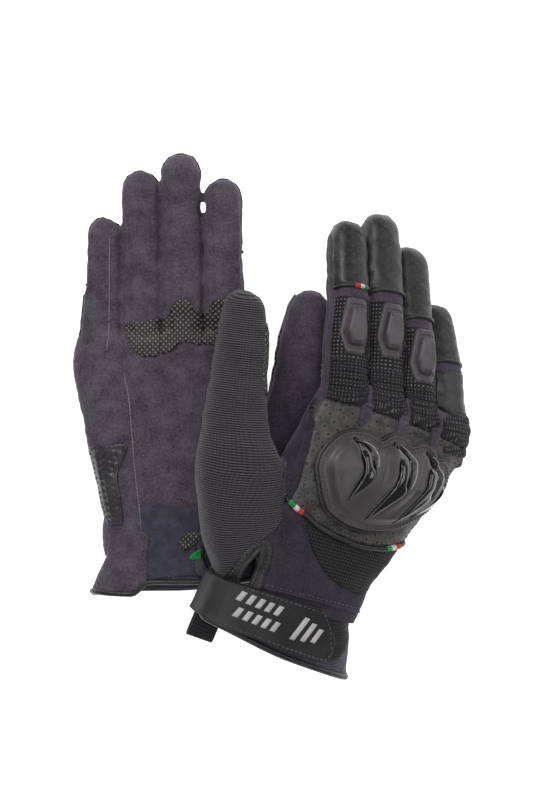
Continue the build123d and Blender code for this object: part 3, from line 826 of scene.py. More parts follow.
def laid_patch(glove, surface, name, outline, side, lift, thick, material,
               pitch=1.4, locate=None, height=None, smooth_edge=3, hole=None):
    """Panel cut to a smooth outline in pattern millimetres and laid on the skin."""
    locate = locate or glove.hand
    line = rounded_line(outline, 1.2, True)
    low_x, high_x = min(p.x for p in line), max(p.x for p in line)
    low_y, high_y = min(p.y for p in line), max(p.y for p in line)
    wide, tall = high_x - low_x, high_y - low_y
    columns, rows = max(2, int(wide / pitch)), max(2, int(tall / pitch))
    mesh = bmesh.new()
    bmesh.ops.create_grid(mesh, x_segments=columns, y_segments=rows, size=0.5)
    for vert in mesh.verts:
        vert.co.x = low_x + (vert.co.x + 0.5) * wide
        vert.co.y = low_y + (vert.co.y + 0.5) * tall
    opening = rounded_line(hole, 1.0, True) if hole else []
    outside = []
    for face in mesh.faces:
        middle = face.calc_center_median()
        if not inside(middle.x, middle.y, line) or (
                hole and inside(middle.x, middle.y, opening)):
            outside.append(face)
    bmesh.ops.delete(mesh, geom=outside, context="FACES")
    samples = []
    for edge_line in (line, opening):
        for index, point in enumerate(edge_line):
            after = edge_line[(index + 1) % len(edge_line)]
            for part in range(4):
                samples.append(point.lerp(after, part / 4).to_3d())
    edge_tree = tree_of(samples)
    rim = [vert for vert in mesh.verts if vert.is_boundary]
    for vert in rim:
        spot, _, _ = edge_tree.find(vert.co)
        vert.co = spot
    inner = [vert for vert in mesh.verts if not vert.is_boundary]
    for _ in range(smooth_edge):
        bmesh.ops.smooth_vert(mesh, verts=inner, factor=0.5, use_axis_x=True, use_axis_y=True)
    bmesh.ops.remove_doubles(mesh, verts=mesh.verts, dist=0.05)
    uv = mesh.loops.layers.uv.new("pattern")
    for face in mesh.faces:
        for loop in face.loops:
            loop[uv].uv = (loop.vert.co.x * MM, loop.vert.co.y * MM)
    for vert in mesh.verts:
        flat = vert.co.copy()
        place, normal = surface.above(locate(flat.x, flat.y, 0.0), side)
        raised = lift
        if height:
            raised += height(flat.x, flat.y, edge_tree.find(flat)[2])
        vert.co = place + normal * raised
    if side < 0:
        bmesh.ops.reverse_faces(mesh, faces=mesh.faces)
    piece = new_piece(glove, name, mesh, material)
    return thicken(piece, thick)


def wrap_panel(glove, surface, name, rows, columns, spot_at, lift, thick, material,
               height=None):
    """Panel wound over a finger: spot_at(u, v) gives a point near the skin and its (x, y) cut."""
    mesh = bmesh.new()
    bmesh.ops.create_grid(mesh, x_segments=columns, y_segments=rows, size=0.5)
    uv = mesh.loops.layers.uv.new("pattern")
    places = {}
    for vert in mesh.verts:
        u, v = vert.co.x + 0.5, vert.co.y + 0.5
        near, flat = spot_at(u, v)
        place, normal = surface.near(near)
        raised = lift + (height(u, v) if height else 0.0)
        places[vert.index] = (place + normal * raised, flat)
    for face in mesh.faces:
        for loop in face.loops:
            flat = places[loop.vert.index][1]
            loop[uv].uv = (flat[0] * MM, flat[1] * MM)
    for vert in mesh.verts:
        vert.co = places[vert.index][0]
    mesh.normal_update()
    outward = sum(1 if face.normal.dot(surface.near(face.calc_center_median())[1]) > 0 else -1
                  for face in mesh.faces)
    if outward < 0:
        bmesh.ops.reverse_faces(mesh, faces=mesh.faces)
    piece = new_piece(glove, name, mesh, material)
    return thicken(piece, thick)


def finger_panel(glove, surface, name, finger, s_span, angles, lift, thick, material,
                 rows=None, columns=22, height=None, closed=False):
    """Panel on a finger between two lengths and two angles (0 little side, 90 back)."""
    low_s, high_s = s_span
    rows = rows or max(4, int((high_s - low_s) / 1.3))

    def spot_at(u, v):
        s = low_s + (high_s - low_s) * v
        start, end = angles(s) if callable(angles) else angles
        angle = start + (end - start) * u
        shrink = 1 - ease(v, 0.90, 1.0) if closed else 1.0
        past = 1.5 * (1 - shrink)
        return (finger_point(glove, finger, s, angle, shrink, past),
                (-radians(angle) * 10.0, s + past))

    return wrap_panel(glove, surface, name, rows, columns, spot_at, lift, thick, material,
                      height)


def finger_line(glove, surface, finger, points, step=1.2):
    """Traced line over a finger through (angle, s) points."""
    dense = rounded_line([(angle / 6.0, s) for angle, s in points], step)
    return [surface.near(finger_point(glove, finger, point.y, point.x * 6.0)) for point in dense]


# ---------------------------------------------------------------- cutting the skin by body
def slice_at(mesh, point, normal, **settings):
    """Cuts a mesh at a plane and gives what lies on the cut."""
    return bmesh.ops.bisect_plane(mesh, geom=mesh.verts[:] + mesh.edges[:] + mesh.faces[:],
                                  dist=0.0001, plane_co=point, plane_no=normal,
                                  **settings)["geom_cut"]


def keep(mesh, point, normal, cap=True):
    """Cuts a mesh at a plane, keeps the side that the normal points to, and closes the cut."""
    cut = slice_at(mesh, point, normal, clear_inner=True)
    if cap:
        edges = [item for item in cut if isinstance(item, bmesh.types.BMEdge)
                 and item.is_boundary]
        for edge in edges:
            edge.smooth = False
        bmesh.ops.triangle_fill(mesh, use_beauty=True, edges=edges, normal=-normal)


def largest(mesh, near):
    """Keeps the connected part whose vertices come nearest to a point."""
    best = min(mesh.verts, key=lambda vert: (vert.co - near).length)
    seen = {best}
    stack = [best]
    while stack:
        vert = stack.pop()
        for edge in vert.link_edges:
            other = edge.other_vert(vert)
            if other not in seen:
                seen.add(other)
                stack.append(other)
    bmesh.ops.delete(mesh, geom=[vert for vert in mesh.verts if vert not in seen],
                     context="VERTS")


FINGER_CUT = 99.0
KNUCKLE_SLOPE = 6.0            # the knuckle line falls away to the little finger, degrees
THUMB_CUT = -14.0
THUMB_SIDE = -38.5
SPLIT_SHARE = 0.55


def follow_finger(glove, piece, finger, joint=0):
    """Bakes a finger piece's transform into its mesh; joint 0 (knuckle) or 1 (middle joint) picks
    the bodies it lies between, but it is put on neither.
    """
    middle = FINGERS[finger][4]
    first, second, hinge, reach = (("hand", finger + "_base", 0.0, 9.0),
                                   (finger + "_base", finger + "_tip", middle, 8.0))[joint]
    start = glove.world(glove.finger(finger, 0, hinge - reach, 0))
    end = glove.world(glove.finger(finger, 0, hinge + reach, 0))
    glove.body(first)
    glove.body(second)
    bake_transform(piece)


def follow_thumb(glove, piece):
    """Bakes a piece by the thumb's hinge into its mesh; it is put on neither the hand nor the thumb
    body.
    """
    start, end = glove.world(glove.thumb(0, -11.0, 0)), glove.world(glove.thumb(0, 14.0, 0))
    glove.body("hand")
    glove.body("thumb")
    tuple(start)
    tuple(end)
    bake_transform(piece)


def cut_skin(glove, skin):
    """Hand, two pieces for each finger, and the thumb, each cut from the one skin."""
    slope = radians(KNUCKLE_SLOPE)
    forward = Vector((sin(slope), cos(slope), 0))
    front = Vector((-35, FINGER_CUT, 0))
    thumb_side = glove.hand(THUMB_SIDE, 76).x
    base = glove.thumb_root @ Vector((0, THUMB_CUT, 0))
    along = (glove.thumb_root.to_3x3() @ Vector((0, 1, 0)))
    for order, finger in enumerate(FINGERS):
        whole = skin.copy()
        keep(whole, front, forward)
        root = glove.frames[finger][0]
        side = root.to_3x3() @ Vector((1, 0, 0))
        keep(whole, finger_gap(glove, order), side)
        keep(whole, finger_gap(glove, order + 1), -side)
        largest(whole, glove.finger(finger, 0, 30, 0))
        middle = FINGERS[finger][4]
        split = glove.finger(finger, 0, middle * SPLIT_SHARE, 0)
        axis = (glove.frames[finger][1].to_3x3() @ Vector((0, 1, 0)))
        lower = whole.copy()
        keep(lower, split, -axis)
        keep(whole, split, axis)
        for joint, (mesh, part) in enumerate(((lower, "base_stall"), (whole, "tip_stall"))):
            piece = new_piece(glove, finger + "_" + part + "_suede", mesh,
                              SUEDE if glove.name == "rear" else SUEDE_SIDE)
            follow_finger(glove, piece, finger, joint)
            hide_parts(glove.body(finger + "_" + part))
    thumb = skin.copy()
    keep(thumb, base, along)
    keep(thumb, Vector((thumb_side, 0, 0)), Vector((-1, 0, 0)))
    largest(thumb, glove.thumb(0, 40, 0))
    piece = new_piece(glove, "thumb_suede", thumb, SUEDE_SIDE)
    follow_thumb(glove, piece)
    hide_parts(glove.body("thumb_stall"))
    hand = skin.copy()
    cut_slit(glove, hand)
    for place, normal in ((front, forward), (Vector((thumb_side, 0, 0)), Vector((-1, 0, 0))),
                          (base, along)):
        slice_at(hand, place, normal)
    gone = []
    for face in hand.faces:
        middle = face.calc_center_median()
        fingers = (middle - front).dot(forward) > 0 and middle.x > thumb_side
        stall = (middle - base).dot(along) > 0 and middle.x < thumb_side
        if fingers or stall:
            gone.append(face)
    bmesh.ops.delete(hand, geom=gone, context="FACES")
    keep(hand, Vector((0, WRIST_CUT, 0)), Vector((0, 1, 0)), cap=False)
    largest(hand, glove.hand(0, 50, -16))
    # The front glove's hand takes the darker suede copy: painted shade.
    piece = new_piece(glove, "hand_suede", hand, SUEDE if glove.name == "rear" else SUEDE_SHADED)
    thicken(piece, 1.5)
    settle(glove, piece, "hand", "palm_panel", "little_side_wall", "thumb_side_wall",
           "thumb_root")


def finger_gap(glove, order):
    """Place before the finger of this order at the knuckle line, or well outside the hand."""
    if order in (0, len(FINGERS)):
        return Vector((135.0 if order else -90.0, 110, 0))
    (left, left_width), (right, right_width) = (
        (glove.frames[name][0].translation, FINGERS[name][1][1] - FINGERS[name][1][0])
        for name in list(FINGERS)[order - 1:order + 1])
    return left.lerp(right, left_width / (left_width + right_width))


# ---------------------------------------------------------------- knuckle guard
GUARD_OUTLINE = [(-20, 58), (-24, 66), (-23.5, 75), (-19, 84), (-10, 88), (-2, 87.5), (3, 86.5),
                 (8, 91.5), (15.5, 92), (21, 89), (27.5, 92.5), (35, 91), (40, 86.5), (46, 87),
                 (52, 82), (54.5, 75), (54, 67), (50, 59), (43, 52), (31, 43.5), (12, 39.5),
                 (-8, 44)]
CLAWS = [  # centre line from the head to the point, and the widest half width
    ([(-12, 83), (-3.5, 77.5), (0.0, 68), (-3.0, 52)], 4.6),
    ([(10.5, 87), (19, 81), (21, 68), (12.0, 44.5)], 5.2),
    ([(31.5, 88), (38.5, 81.5), (39, 68), (29.5, 47)], 5.0),
    ([(48, 80), (51.5, 73), (48, 63), (39.5, 53)], 3.4),
]
WELT = 4.2
GUARD_TALL = 9.5


class SmoothBack:
    """The even back of the hand without its wrinkles, for the stiff pieces that sit on it."""

    def __init__(self, glove):
        self.shift = glove.lies["shift"]

    def height(self, x, y):
        x -= self.shift * min(max(1 - y / WRIST_TO_KNUCKLE, 0.0), 1.0)
        left, right, _, high = read(HAND_ROWS, y)
        share = min(abs(x - (left + right) / 2) / ((right - left) / 2), 0.985)
        return high * (1 - share ** HAND_SQUARE) ** (1 / HAND_SQUARE) + 0.9

    def above(self, point, side):
        x, y = point[0], point[1]
        step = 1.0
        slope_x = (self.height(x + step, y) - self.height(x - step, y)) / (2 * step)
        slope_y = (self.height(x, y + step) - self.height(x, y - step)) / (2 * step)
        return (Vector((x, y, self.height(x, y))),
                Vector((-slope_x * 0.6, -slope_y, 1.0)).normalized())


def claw_line(points):
    line = rounded_line(points, 0.8)
    count = len(line) - 1
    return [(point, index / count) for index, point in enumerate(line)]


def claw_width(share, widest):
    """Blunt at the head, widest a third of the way down, then a long point."""
    if share < 0.3:
        return widest * (0.30 + 0.70 * ease(share, 0.0, 0.3))
    return widest * (1 - ((share - 0.3) / 0.7) ** 1.5 * 0.97)


def guard_height(x, y, edge, lines, pockets=True):
    """Height of the moulded shell: rim, dome, soft ridges between the vents, vent pockets."""
    rim = 1.5 - 0.5 * (1 - ease(edge, 0, 0.9)) - 0.4 * bump(edge, 2.1, 0.6)
    rise = ease(edge, WELT - 1.2, WELT + 3.2) * 3.0 + ease(edge, WELT - 1, 26) * (
        GUARD_TALL - 4.9)
    swell = pocket = 0.0
    for line, widest in lines:
        gap, share = min(((point - Vector((x, y))).length - claw_width(share, widest), share)
                         for point, share in line)
        swell = max(swell, 1.3 * bump(gap, 1.2, 3.4) * ease(share, -0.1, 0.3)
                    * (1 - 0.85 * ease(share, 0.45, 1.0)))
        pocket = max(pocket, 2.6 * (1 - ease(gap, -1.0, 0.0)))
    return rim + rise + swell * ease(edge, WELT, WELT + 5) - (pocket if pockets else 0.0)


def make_guard(glove):
    """Moulded knuckle guard on its welt, with four claw vents and two rows of stitches."""
    lines = [(claw_line(points), wide) for points, wide in CLAWS]
    back = SmoothBack(glove)

    def height(x, y, edge):
        return guard_height(x, y, edge, lines)

    guard = laid_patch(glove, back, "knuckle_guard_shell", GUARD_OUTLINE, 1, 0.9, 2.4, SHELL,
                       pitch=0.75, height=height, smooth_edge=2)
    settle(glove, guard, "hand", "knuckle_guard")
    around = [tuple(p) for p in inset_line(rounded_line(GUARD_OUTLINE, 4, True), -1.6)]
    pad = laid_patch(glove, back, "knuckle_guard_welt", around, 1, 0.9, 2.2, RUBBER,
                     pitch=1.2)
    settle(glove, pad, "hand", "knuckle_foam")
    rim_tree = tree_of([point.to_3d() for point in rounded_line(GUARD_OUTLINE, 0.5, True)])

    def shell_top(x, y):
        edge = rim_tree.find((x, y, 0))[2]
        place, normal = back.above(glove.hand(x, y), 1)
        return place + normal * (0.9 + guard_height(x, y, edge, lines, False)), normal

    for order, (line, widest) in enumerate(lines):
        add_vent(glove, shell_top, order, line, widest)
    rows = []
    for gap in (0.7, 2.6):
        around = inset_line(rounded_line(GUARD_OUTLINE, 1.0, True), gap)
        row = []
        for p in around + around[:1]:
            place, normal = back.above(glove.hand(p.x, p.y), 1)
            row.append((place + normal * (0.9 + guard_height(p.x, p.y, gap, [])), normal))
        rows.append(row)
    sewn = stitches(glove, "knuckle_guard_stitches", rows, THREAD, 2.1, 1.5, 0.30, 0.16)
    settle(glove, sewn, "hand")


def mesh_of(glove, piece):
    """Copy of a piece's own mesh, back in the glove's millimetres."""
    mesh = bmesh.new()
    mesh.from_mesh(piece.data)
    bmesh.ops.transform(mesh, matrix=glove.place.inverted(), verts=mesh.verts)
    return mesh


def on_shell(glove, tree, line):
    """Traced line over a stiff shell, seen from the back of the hand."""
    spots = []
    for point in line:
        place = glove.hand(point.x, point.y, 60.0)
        hit, normal, _, _ = tree.ray_cast(place, Vector((0, 0, -1)))
        if hit is not None:
            spots.append((hit, normal if normal.z > 0 else -normal))
    return spots


def add_vent(glove, shell_top, order, line, widest):
    """Gloss claw in its pocket: a hollow mouth by a humped shoulder, with a pale tube along one lip
    as a painted highlight.
    """
    mesh = bmesh.new()
    bmesh.ops.create_grid(mesh, x_segments=14, y_segments=len(line) - 1, size=0.5)
    for vert in mesh.verts:
        u = vert.co.x * 2.0
        index = int(round((vert.co.y + 0.5) * (len(line) - 1)))
        point, share = line[index]
        side = claw_side(line, index)
        flat = point + side * u * claw_width(share, widest) * 1.02
        place, normal = shell_top(flat.x, flat.y)
        slide = ease(share, 0.38, 0.62)
        centre, half = -0.32 + 0.32 * slide, 0.72 + 0.36 * slide
        hump = max(1 - ((u - centre) / half) ** 2, 0.0) ** 0.6 * ease(share, 0.10, 0.30)
        hump *= 1 - 0.72 * ease(share, 0.30, 1.0)
        hollow = ease(u, 0.05, 0.5) * (1 - ease(share, 0.40, 0.54)) * ease(share, 0.02, 0.1)
        mouth = (1 - ease(share, 0.06, 0.2)) * ease(share, 0.0, 0.04) * (1 - abs(u) ** 3)
        vert.co = place + normal * (2.6 * hump - 2.2 * max(hollow, mouth) - 0.05)
    mesh.normal_update()
    outward = sum(face.normal.z for face in mesh.faces)
    if outward < 0:
        bmesh.ops.reverse_faces(mesh, faces=mesh.faces)
    piece = new_piece(glove, "guard_vent_%d" % (order + 1), mesh, VENT)
    thicken(piece, 1.2)
    soften(piece)
    settle(glove, piece, "hand")
    if order == 0:
        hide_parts(glove.body("guard_vents"))
    # Pale tube along the little-finger lip of the mouth, from share 0.07 to 0.5: painted highlight.
    spots = []
    for index, (point, share) in enumerate(line):
        if not 0.07 < share < 0.5:
            continue
        flat = point + claw_side(line, index) * (claw_width(share, widest) * 1.02 + 0.1)
        spots.append(shell_top(flat.x, flat.y))
    rim = tube(glove, "vent_lip_%d" % (order + 1), spots, 0.32, VENT_LIP_HIGHLIGHT, lift=0.1)
    settle(glove, rim, "hand")


def claw_side(line, index):
    """Unit vector across a claw, towards the little finger."""
    along = (line[min(index + 1, len(line) - 1)][0] - line[max(index - 1, 0)][0]).normalized()
    return Vector((-along.y, along.x))


# ---------------------------------------------------------------- finger armour
ARMOUR_SHAPE = [(-5.6, 0), (5.6, 0), (9.0, 10.5), (5.8, 30), (-5.8, 30), (-9.0, 10.5)]


def make_armour(glove, surface, finger):
    """Six-sided moulded plate with a bevelled rim and a raised wedge, over one finger bone."""
    middle = FINGERS[finger][4]
    start = middle - 28.5
    lower = glove.frames[finger][1]
    crown = [(lower.inverted() @ surface.near(lower @ Vector((0, start + s, 14)))[0]).z
             for s in (0, 8, 16, 24, 30)]
    deck = max(crown) + 0.2
    mesh = bmesh.new()
    layers = ((1.0, deck - 4.2), (1.0, deck + 0.6), (0.93, deck + 1.5), (0.80, deck + 1.65),
              (0.76, deck + 1.2), (0.70, deck + 1.25), (0.62, deck + 3.6), (0.5, deck + 4.5),
              (0.0, deck + 4.7))
    centre = Vector((0, 14.0))
    outline = rounded_hexagon(ARMOUR_SHAPE, 2.0)
    current = mesh.faces.new([mesh.verts.new((point.x, point.y, 0)) for point in outline])
    rings = [list(current.verts)]
    for _ in layers[1:-1]:
        current = bmesh.ops.extrude_discrete_faces(mesh, faces=[current])["faces"][0]
        rings.append(list(current.verts))
    for verts, (share, level) in zip(rings, layers):
        for vert, point in zip(verts, outline):
            wedge = 0.35 if share < 0.66 else 0.0
            flat = centre + (point - centre) * share
            arch = -0.045 * flat.x * flat.x if share > 0.66 else -0.02 * flat.x * flat.x
            slope = wedge * (flat.y - centre.y) * 0.12
            vert.co = Vector((flat.x, flat.y, level + arch + slope))
    bmesh.ops.poke(mesh, faces=[current])
    bmesh.ops.remove_doubles(mesh, verts=mesh.verts, dist=0.001)
    bmesh.ops.transform(mesh, matrix=lower @ Matrix.Translation((0, start, 0)), verts=mesh.verts)
    piece = new_piece(glove, finger + "_armour_plate", mesh, ARMOUR,
                      recalculate=True, smooth=False)
    edge = piece.modifiers.new("edge", "BEVEL")
    edge.width = 0.35 * MM
    edge.segments = 2
    edge.profile = 0.5
    edge.limit_method = "ANGLE"
    edge.angle_limit = radians(24)
    settle(glove, piece, finger + "_base", finger + "_armour")


def rounded_hexagon(points, radius, parts=3):
    """Outline with each corner cut into a small arc."""
    points = [Vector(point) for point in points]
    line = []
    for index, point in enumerate(points):
        before = (points[index - 1] - point).normalized()
        after = (points[(index + 1) % len(points)] - point).normalized()
        start, end = point + before * radius, point + after * radius
        for part in range(parts + 1):
            t = part / parts
            line.append((start.lerp(point, t)).lerp(point.lerp(end, t), t))
    return line


# ---------------------------------------------------------------- seams that shape the skin
def finger_seams(glove, surface, finger):
    """Long seams where the finger's sides meet its palm strip and its back."""
    length = FINGERS[finger][5]
    start = 6.0
    lines = []
    for angle in (-58.0, 196.0):
        lines.append(finger_line(glove, surface, finger, [(angle, start), (angle, length * 0.5),
                                                          (angle + 4, length - 9)]))
    return lines


PALM_SEAMS = {
    "edge": [(33, 100), (31, 92), (27.9, 75), (25.4, 43.4), (21.3, 4.7)],
    "overlay": [(44, 97), (37, 88), (32.7, 82), (20.9, 78), (18.2, 75), (17.8, 56), (14, 32.5),
                (22, 22.7)],
    "cuff": [(22, 19), (5, 18.5), (-14, 19), (-26, 20)],
    "little_root": [(56, 99), (45, 98.5), (34, 98)],
}
BACK_SEAMS = {
    "knuckle": [(-36, 99.5), (-12, 101), (12, 101), (34, 100.5), (55, 98)],
    "index_side": [(-38.5, 98), (-34.5, 82), (-30.5, 62), (-29, 50), (-30, 42), (-30, 36)],
    "slit_side": [(-30, 36), (-22, 30), (-14, 18), (-8, 8), (-5, 2)],
}


def seam_lines(glove, surface):
    lines = {}
    for name, points in PALM_SEAMS.items():
        lines["palm_" + name] = trace(glove, surface, points, -1)
    for name, points in BACK_SEAMS.items():
        lines["back_" + name] = trace(glove, surface, points, 1)
    return lines


# ---------------------------------------------------------------- the slit on the thumb side
SLIT = [(-31.7, 15.5), (-33.6, 9.5), (-34.2, 3), (-33.2, -4), (-31, -10), (-28.8, -13),
        (-27.4, -10), (-27.6, -3), (-28.0, 3), (-29.2, 9.5)]
SLIT_RIM = [(-31.5, 21), (-36.6, 17.5), (-39.4, 9), (-39.8, 1), (-38.5, -9), (-35, -18),
            (-22, -18), (-21.5, -6), (-22.4, 3), (-24.5, 13), (-27.5, 19)]
SLIT_SKEW = 13.8  # the palm opening lies this much nearer to the middle of the wrist


def palm_side(outline, grow=0.0):
    """The same opening or facing on the palm layer."""
    made = [(x + SLIT_SKEW, y) for x, y in outline]
    if grow:
        made = [(p.x, p.y) for p in inset_line([Vector(p) for p in made], -grow)]
    return made


def cut_slit(glove, mesh):
    """Opens the slit through a shell and trims its edge to the outline."""
    for outline, side in ((SLIT, 1), (palm_side(SLIT, 1.5), -1)):
        line = [glove.hand(p.x, p.y) for p in rounded_line(outline, 1.0, True)]
        flat = [Vector((p.x, p.y)) for p in line]
        gone = []
        for face in mesh.faces:
            middle = face.calc_center_median()
            if middle.z * side > 0 and inside(middle.x, middle.y, flat):
                gone.append(face)
        bmesh.ops.delete(mesh, geom=gone, context="FACES")
        for vert in mesh.verts:
            if vert.is_boundary and vert.co.z * side > 0:
                spot = min(flat, key=lambda p: (p.x - vert.co.x) ** 2 + (p.y - vert.co.y) ** 2)
                if (spot - Vector((vert.co.x, vert.co.y))).length < 2.5:
                    vert.co.x, vert.co.y = spot.x, spot.y


# ---------------------------------------------------------------- cuff, strap, tab
PALM_RISE = 8.0
BACK_DROP = 3.6
CUFF_ROWS = [  # y, thumb side, little side, palm depth, back height
    (-29.5, -41.5, 50.5, 18.3, 18.3), (-20, -41.3, 47.0, 17.6, 17.6),
    (-12, -40.2, 43.2, 16.8, 16.8), (-9, -38.4, 41.4, 15.2, 15.2), (-5, -37.0, 39.0, 14.0, 14.0),
]


def make_cuff(glove):
    """Stretch cuff: an open shell with a leather-bound mouth, pulled in under the strap."""
    rows = [(y,) + tuple(read(CUFF_ROWS, y)) for y in [CUFF_MOUTH + 1.2 * k for k in range(21)]]

    def slanted(x, y, z):
        """The mouth is short on the palm, where a flap hangs by the edge, and long on the back."""
        palm = PALM_RISE * (1 - 0.85 * ease(x, 17, 27))
        back = -BACK_DROP * ease(x, -42, 8)
        rise = palm + (back - palm) * ease(z, -11, 9)
        return glove.hand(x, y + rise * ease(-y, 11, 29.5), z)

    def pucker(y, angle):
        gather = 0.012 * sin(angle * 11 + 1.3 * sin(y * 0.2)) * bump(y, -3, 9)
        return gather + 0.01 * sin(angle * 5 + 2) * bump(y, -26, 10)

    mesh = loft(rows, slanted, 130, CUFF_SQUARE, pucker)
    caps = [face for face in mesh.faces if len(face.verts) > 6]
    bmesh.ops.delete(mesh, geom=caps, context="FACES_ONLY")
    cut_slit(glove, mesh)
    bmesh.ops.recalc_face_normals(mesh, faces=mesh.faces)
    outside = sum(face.normal.z * (1 if face.calc_center_median().z > 0 else -1)
                  for face in mesh.faces)
    if outside < 0:
        bmesh.ops.reverse_faces(mesh, faces=mesh.faces)
    surface = Surface(mesh)
    cuff = new_piece(glove, "cuff_shell", mesh, NEOPRENE)
    thicken(cuff, 1.9)
    settle(glove, cuff, "hand", "cuff")

    def around(row_y, y, count):
        """Points round the cuff at y, on the section that it has at row_y."""
        section = read(CUFF_ROWS, row_y)
        turns = (oval(*section, 2 * pi * step / 140, CUFF_SQUARE) for step in range(count))
        return [slanted(x, y, z) for x, z in turns]

    ring = [(place, Vector((0, -1, 0))) for place in around(CUFF_MOUTH, CUFF_MOUTH - 0.1, 140)]
    bound = tube(glove, "cuff_mouth_binding", ring, 1.55, BINDING, closed=True,
                 around=4)
    settle(glove, bound, "hand", "cuff_binding")
    band = [surface.near(place) for place in around(-27, -27.0, 141)]
    sewn = stitches(glove, "cuff_mouth_stitches", [band], THREAD, 2.6, 1.9, 0.26, 0.1)
    settle(glove, sewn, "hand")
    return surface


STRAP_PARTS = 110


def strap_path():
    """Section of the strap from the thumb side, round the edge and over the back, (x, z)."""
    left, right, low, high = read(CUFF_ROWS, -17)
    path = []
    for step in range(260):
        angle = radians(206 - step * 0.55)
        x, z = oval(left - 1.9, right + 1.9, low + 1.9, high + 2.1, angle, CUFF_SQUARE)
        if x > STRAP_END:
            break
        path.append(Vector((x, z)))
    return path


def even(path, count):
    """The same line with its points evenly spaced."""
    lengths = [0.0]
    for a, b in zip(path, path[1:]):
        lengths.append(lengths[-1] + (b - a).length)
    made = []
    index = 0
    for step in range(count + 1):
        due = lengths[-1] * step / count
        while index < len(path) - 2 and lengths[index + 1] < due:
            index += 1
        share = (due - lengths[index]) / max(lengths[index + 1] - lengths[index], 1e-6)
        made.append(path[index].lerp(path[index + 1], share))
    return made, lengths[-1]


def make_strap(glove, cuff_surface):
    """Rubber-faced strap with a raised stitched edge: its end peels, its root stays sewn on."""
    path, length = even(strap_path(), STRAP_PARTS)
    low, high = STRAP_Y
    hinge_index = min(range(len(path)), key=lambda k: abs(path[k].x - STRAP_START) + abs(
        path[k].y - 19) * 0.2)
    parts = (("strap_root", 0, hinge_index + 1), ("strap_face", hinge_index, len(path)))
    for name, first, last in parts:
        mesh = bmesh.new()
        columns = last - first - 1
        rows = 18
        bmesh.ops.create_grid(mesh, x_segments=columns, y_segments=rows, size=0.5)
        uv = mesh.loops.layers.uv.new("pattern")
        for face in mesh.faces:
            for loop in face.loops:
                co = loop.vert.co
                loop[uv].uv = ((co.x + 0.5) * columns * length / STRAP_PARTS * MM,
                                co.y * STRAP_WIDTH * MM)
        lifted = 1.6 if name == "strap_face" else 1.2
        for vert in mesh.verts:
            index = first + int(round((vert.co.x + 0.5) * columns))
            v = vert.co.y + 0.5
            spot = path[index]
            after, before = path[min(index + 1, len(path) - 1)], path[max(index - 1, 0)]
            out = Vector((-(after - before).y, (after - before).x)).normalized()
            if out.dot(spot - Vector((WRIST_MIDDLE, 0))) < 0:
                out = -out
            y = low + (high - low) * v
            along = index / STRAP_PARTS * length
            left_over = length - along
            if left_over < 16:
                y_high = high - 12.5 * ((16 - left_over) / 16)
                y_low = low + 3.0 * ((16 - left_over) / 16) ** 2
                y = y_low + (y_high - y_low) * v
            if name == "strap_root":
                gather = 1.0 - 0.10 * (1 - along / (hinge_index / STRAP_PARTS * length))
                y = (low + high) / 2 + (y - (low + high) / 2) * gather
            edge = min(v, 1 - v) * STRAP_WIDTH
            if name == "strap_face":
                edge = min(edge, left_over)
            rim = 0.45 * (1 - ease(edge, 1.9, 3.1))
            groove = 0.3 * bump(edge, 1.25, 0.5)
            lift = lifted + rim - groove
            settle_in = 0.5 * sin(along * 0.11)
            flat = Vector((spot.x, spot.y)) + out * (lift + settle_in)
            vert.co = glove.hand(flat.x, y, flat.y)
        bmesh.ops.recalc_face_normals(mesh, faces=mesh.faces)
        total = sum(f.normal.z for f in mesh.faces if f.calc_center_median().z > 10)
        if total < 0:
            bmesh.ops.reverse_faces(mesh, faces=mesh.faces)
        piece = new_piece(glove, name, mesh, STRAP_RUBBER)
        thicken(piece, 2.0, edge=0.25)
        if name == "strap_root":
            settle(glove, piece, "hand")
        else:
            settle(glove, piece, "strap", "wrist_strap")
            face = piece
    over = mesh_of(glove, face)
    tree = BVHTree.FromBMesh(over)
    over.free()
    line = [(-34, low + 1.3), (0, low + 1.3), (20, low + 1.4), (28.5, low + 2.4), (30.2, low + 5),
            (26, low + 10), (21, high - 5), (16.5, high - 1.6), (0, high - 1.3), (-34, high - 1.3)]
    dense = []
    for (ax, ay), (bx, by) in zip(line, line[1:]):
        parts_here = max(1, int(hypot(bx - ax, by - ay) / 1.0))
        for part in range(parts_here):
            share = part / parts_here
            dense.append(Vector((ax + (bx - ax) * share, ay + (by - ay) * share)))
    sewn = stitches(glove, "strap_stitches", [on_shell(glove, tree, dense)], THREAD, 2.7, 1.9,
                    0.26, 0.06)
    settle(glove, sewn, "strap")
    loop = laid_patch(glove, cuff_surface, "strap_loop_tape",
                      [(-12, low + 3), (34, low + 3), (34, high - 3), (-12, high - 3)], 1, 1.1, 1.0,
                      HOOKS, pitch=2.0)
    settle(glove, loop, "hand", "loop_patch")
    strap_print(glove, face)
    hook = laid_patch(glove, Surface(mesh_of(glove, face)), "strap_hook_tape",
                      [(2, low + 3.5), (22, low + 3.5), (20, high - 6), (2, high - 3.5)], 1, -2.1,
                      0.8, HOOKS, pitch=2.0)
    settle(glove, hook, "strap", "hook_patch")


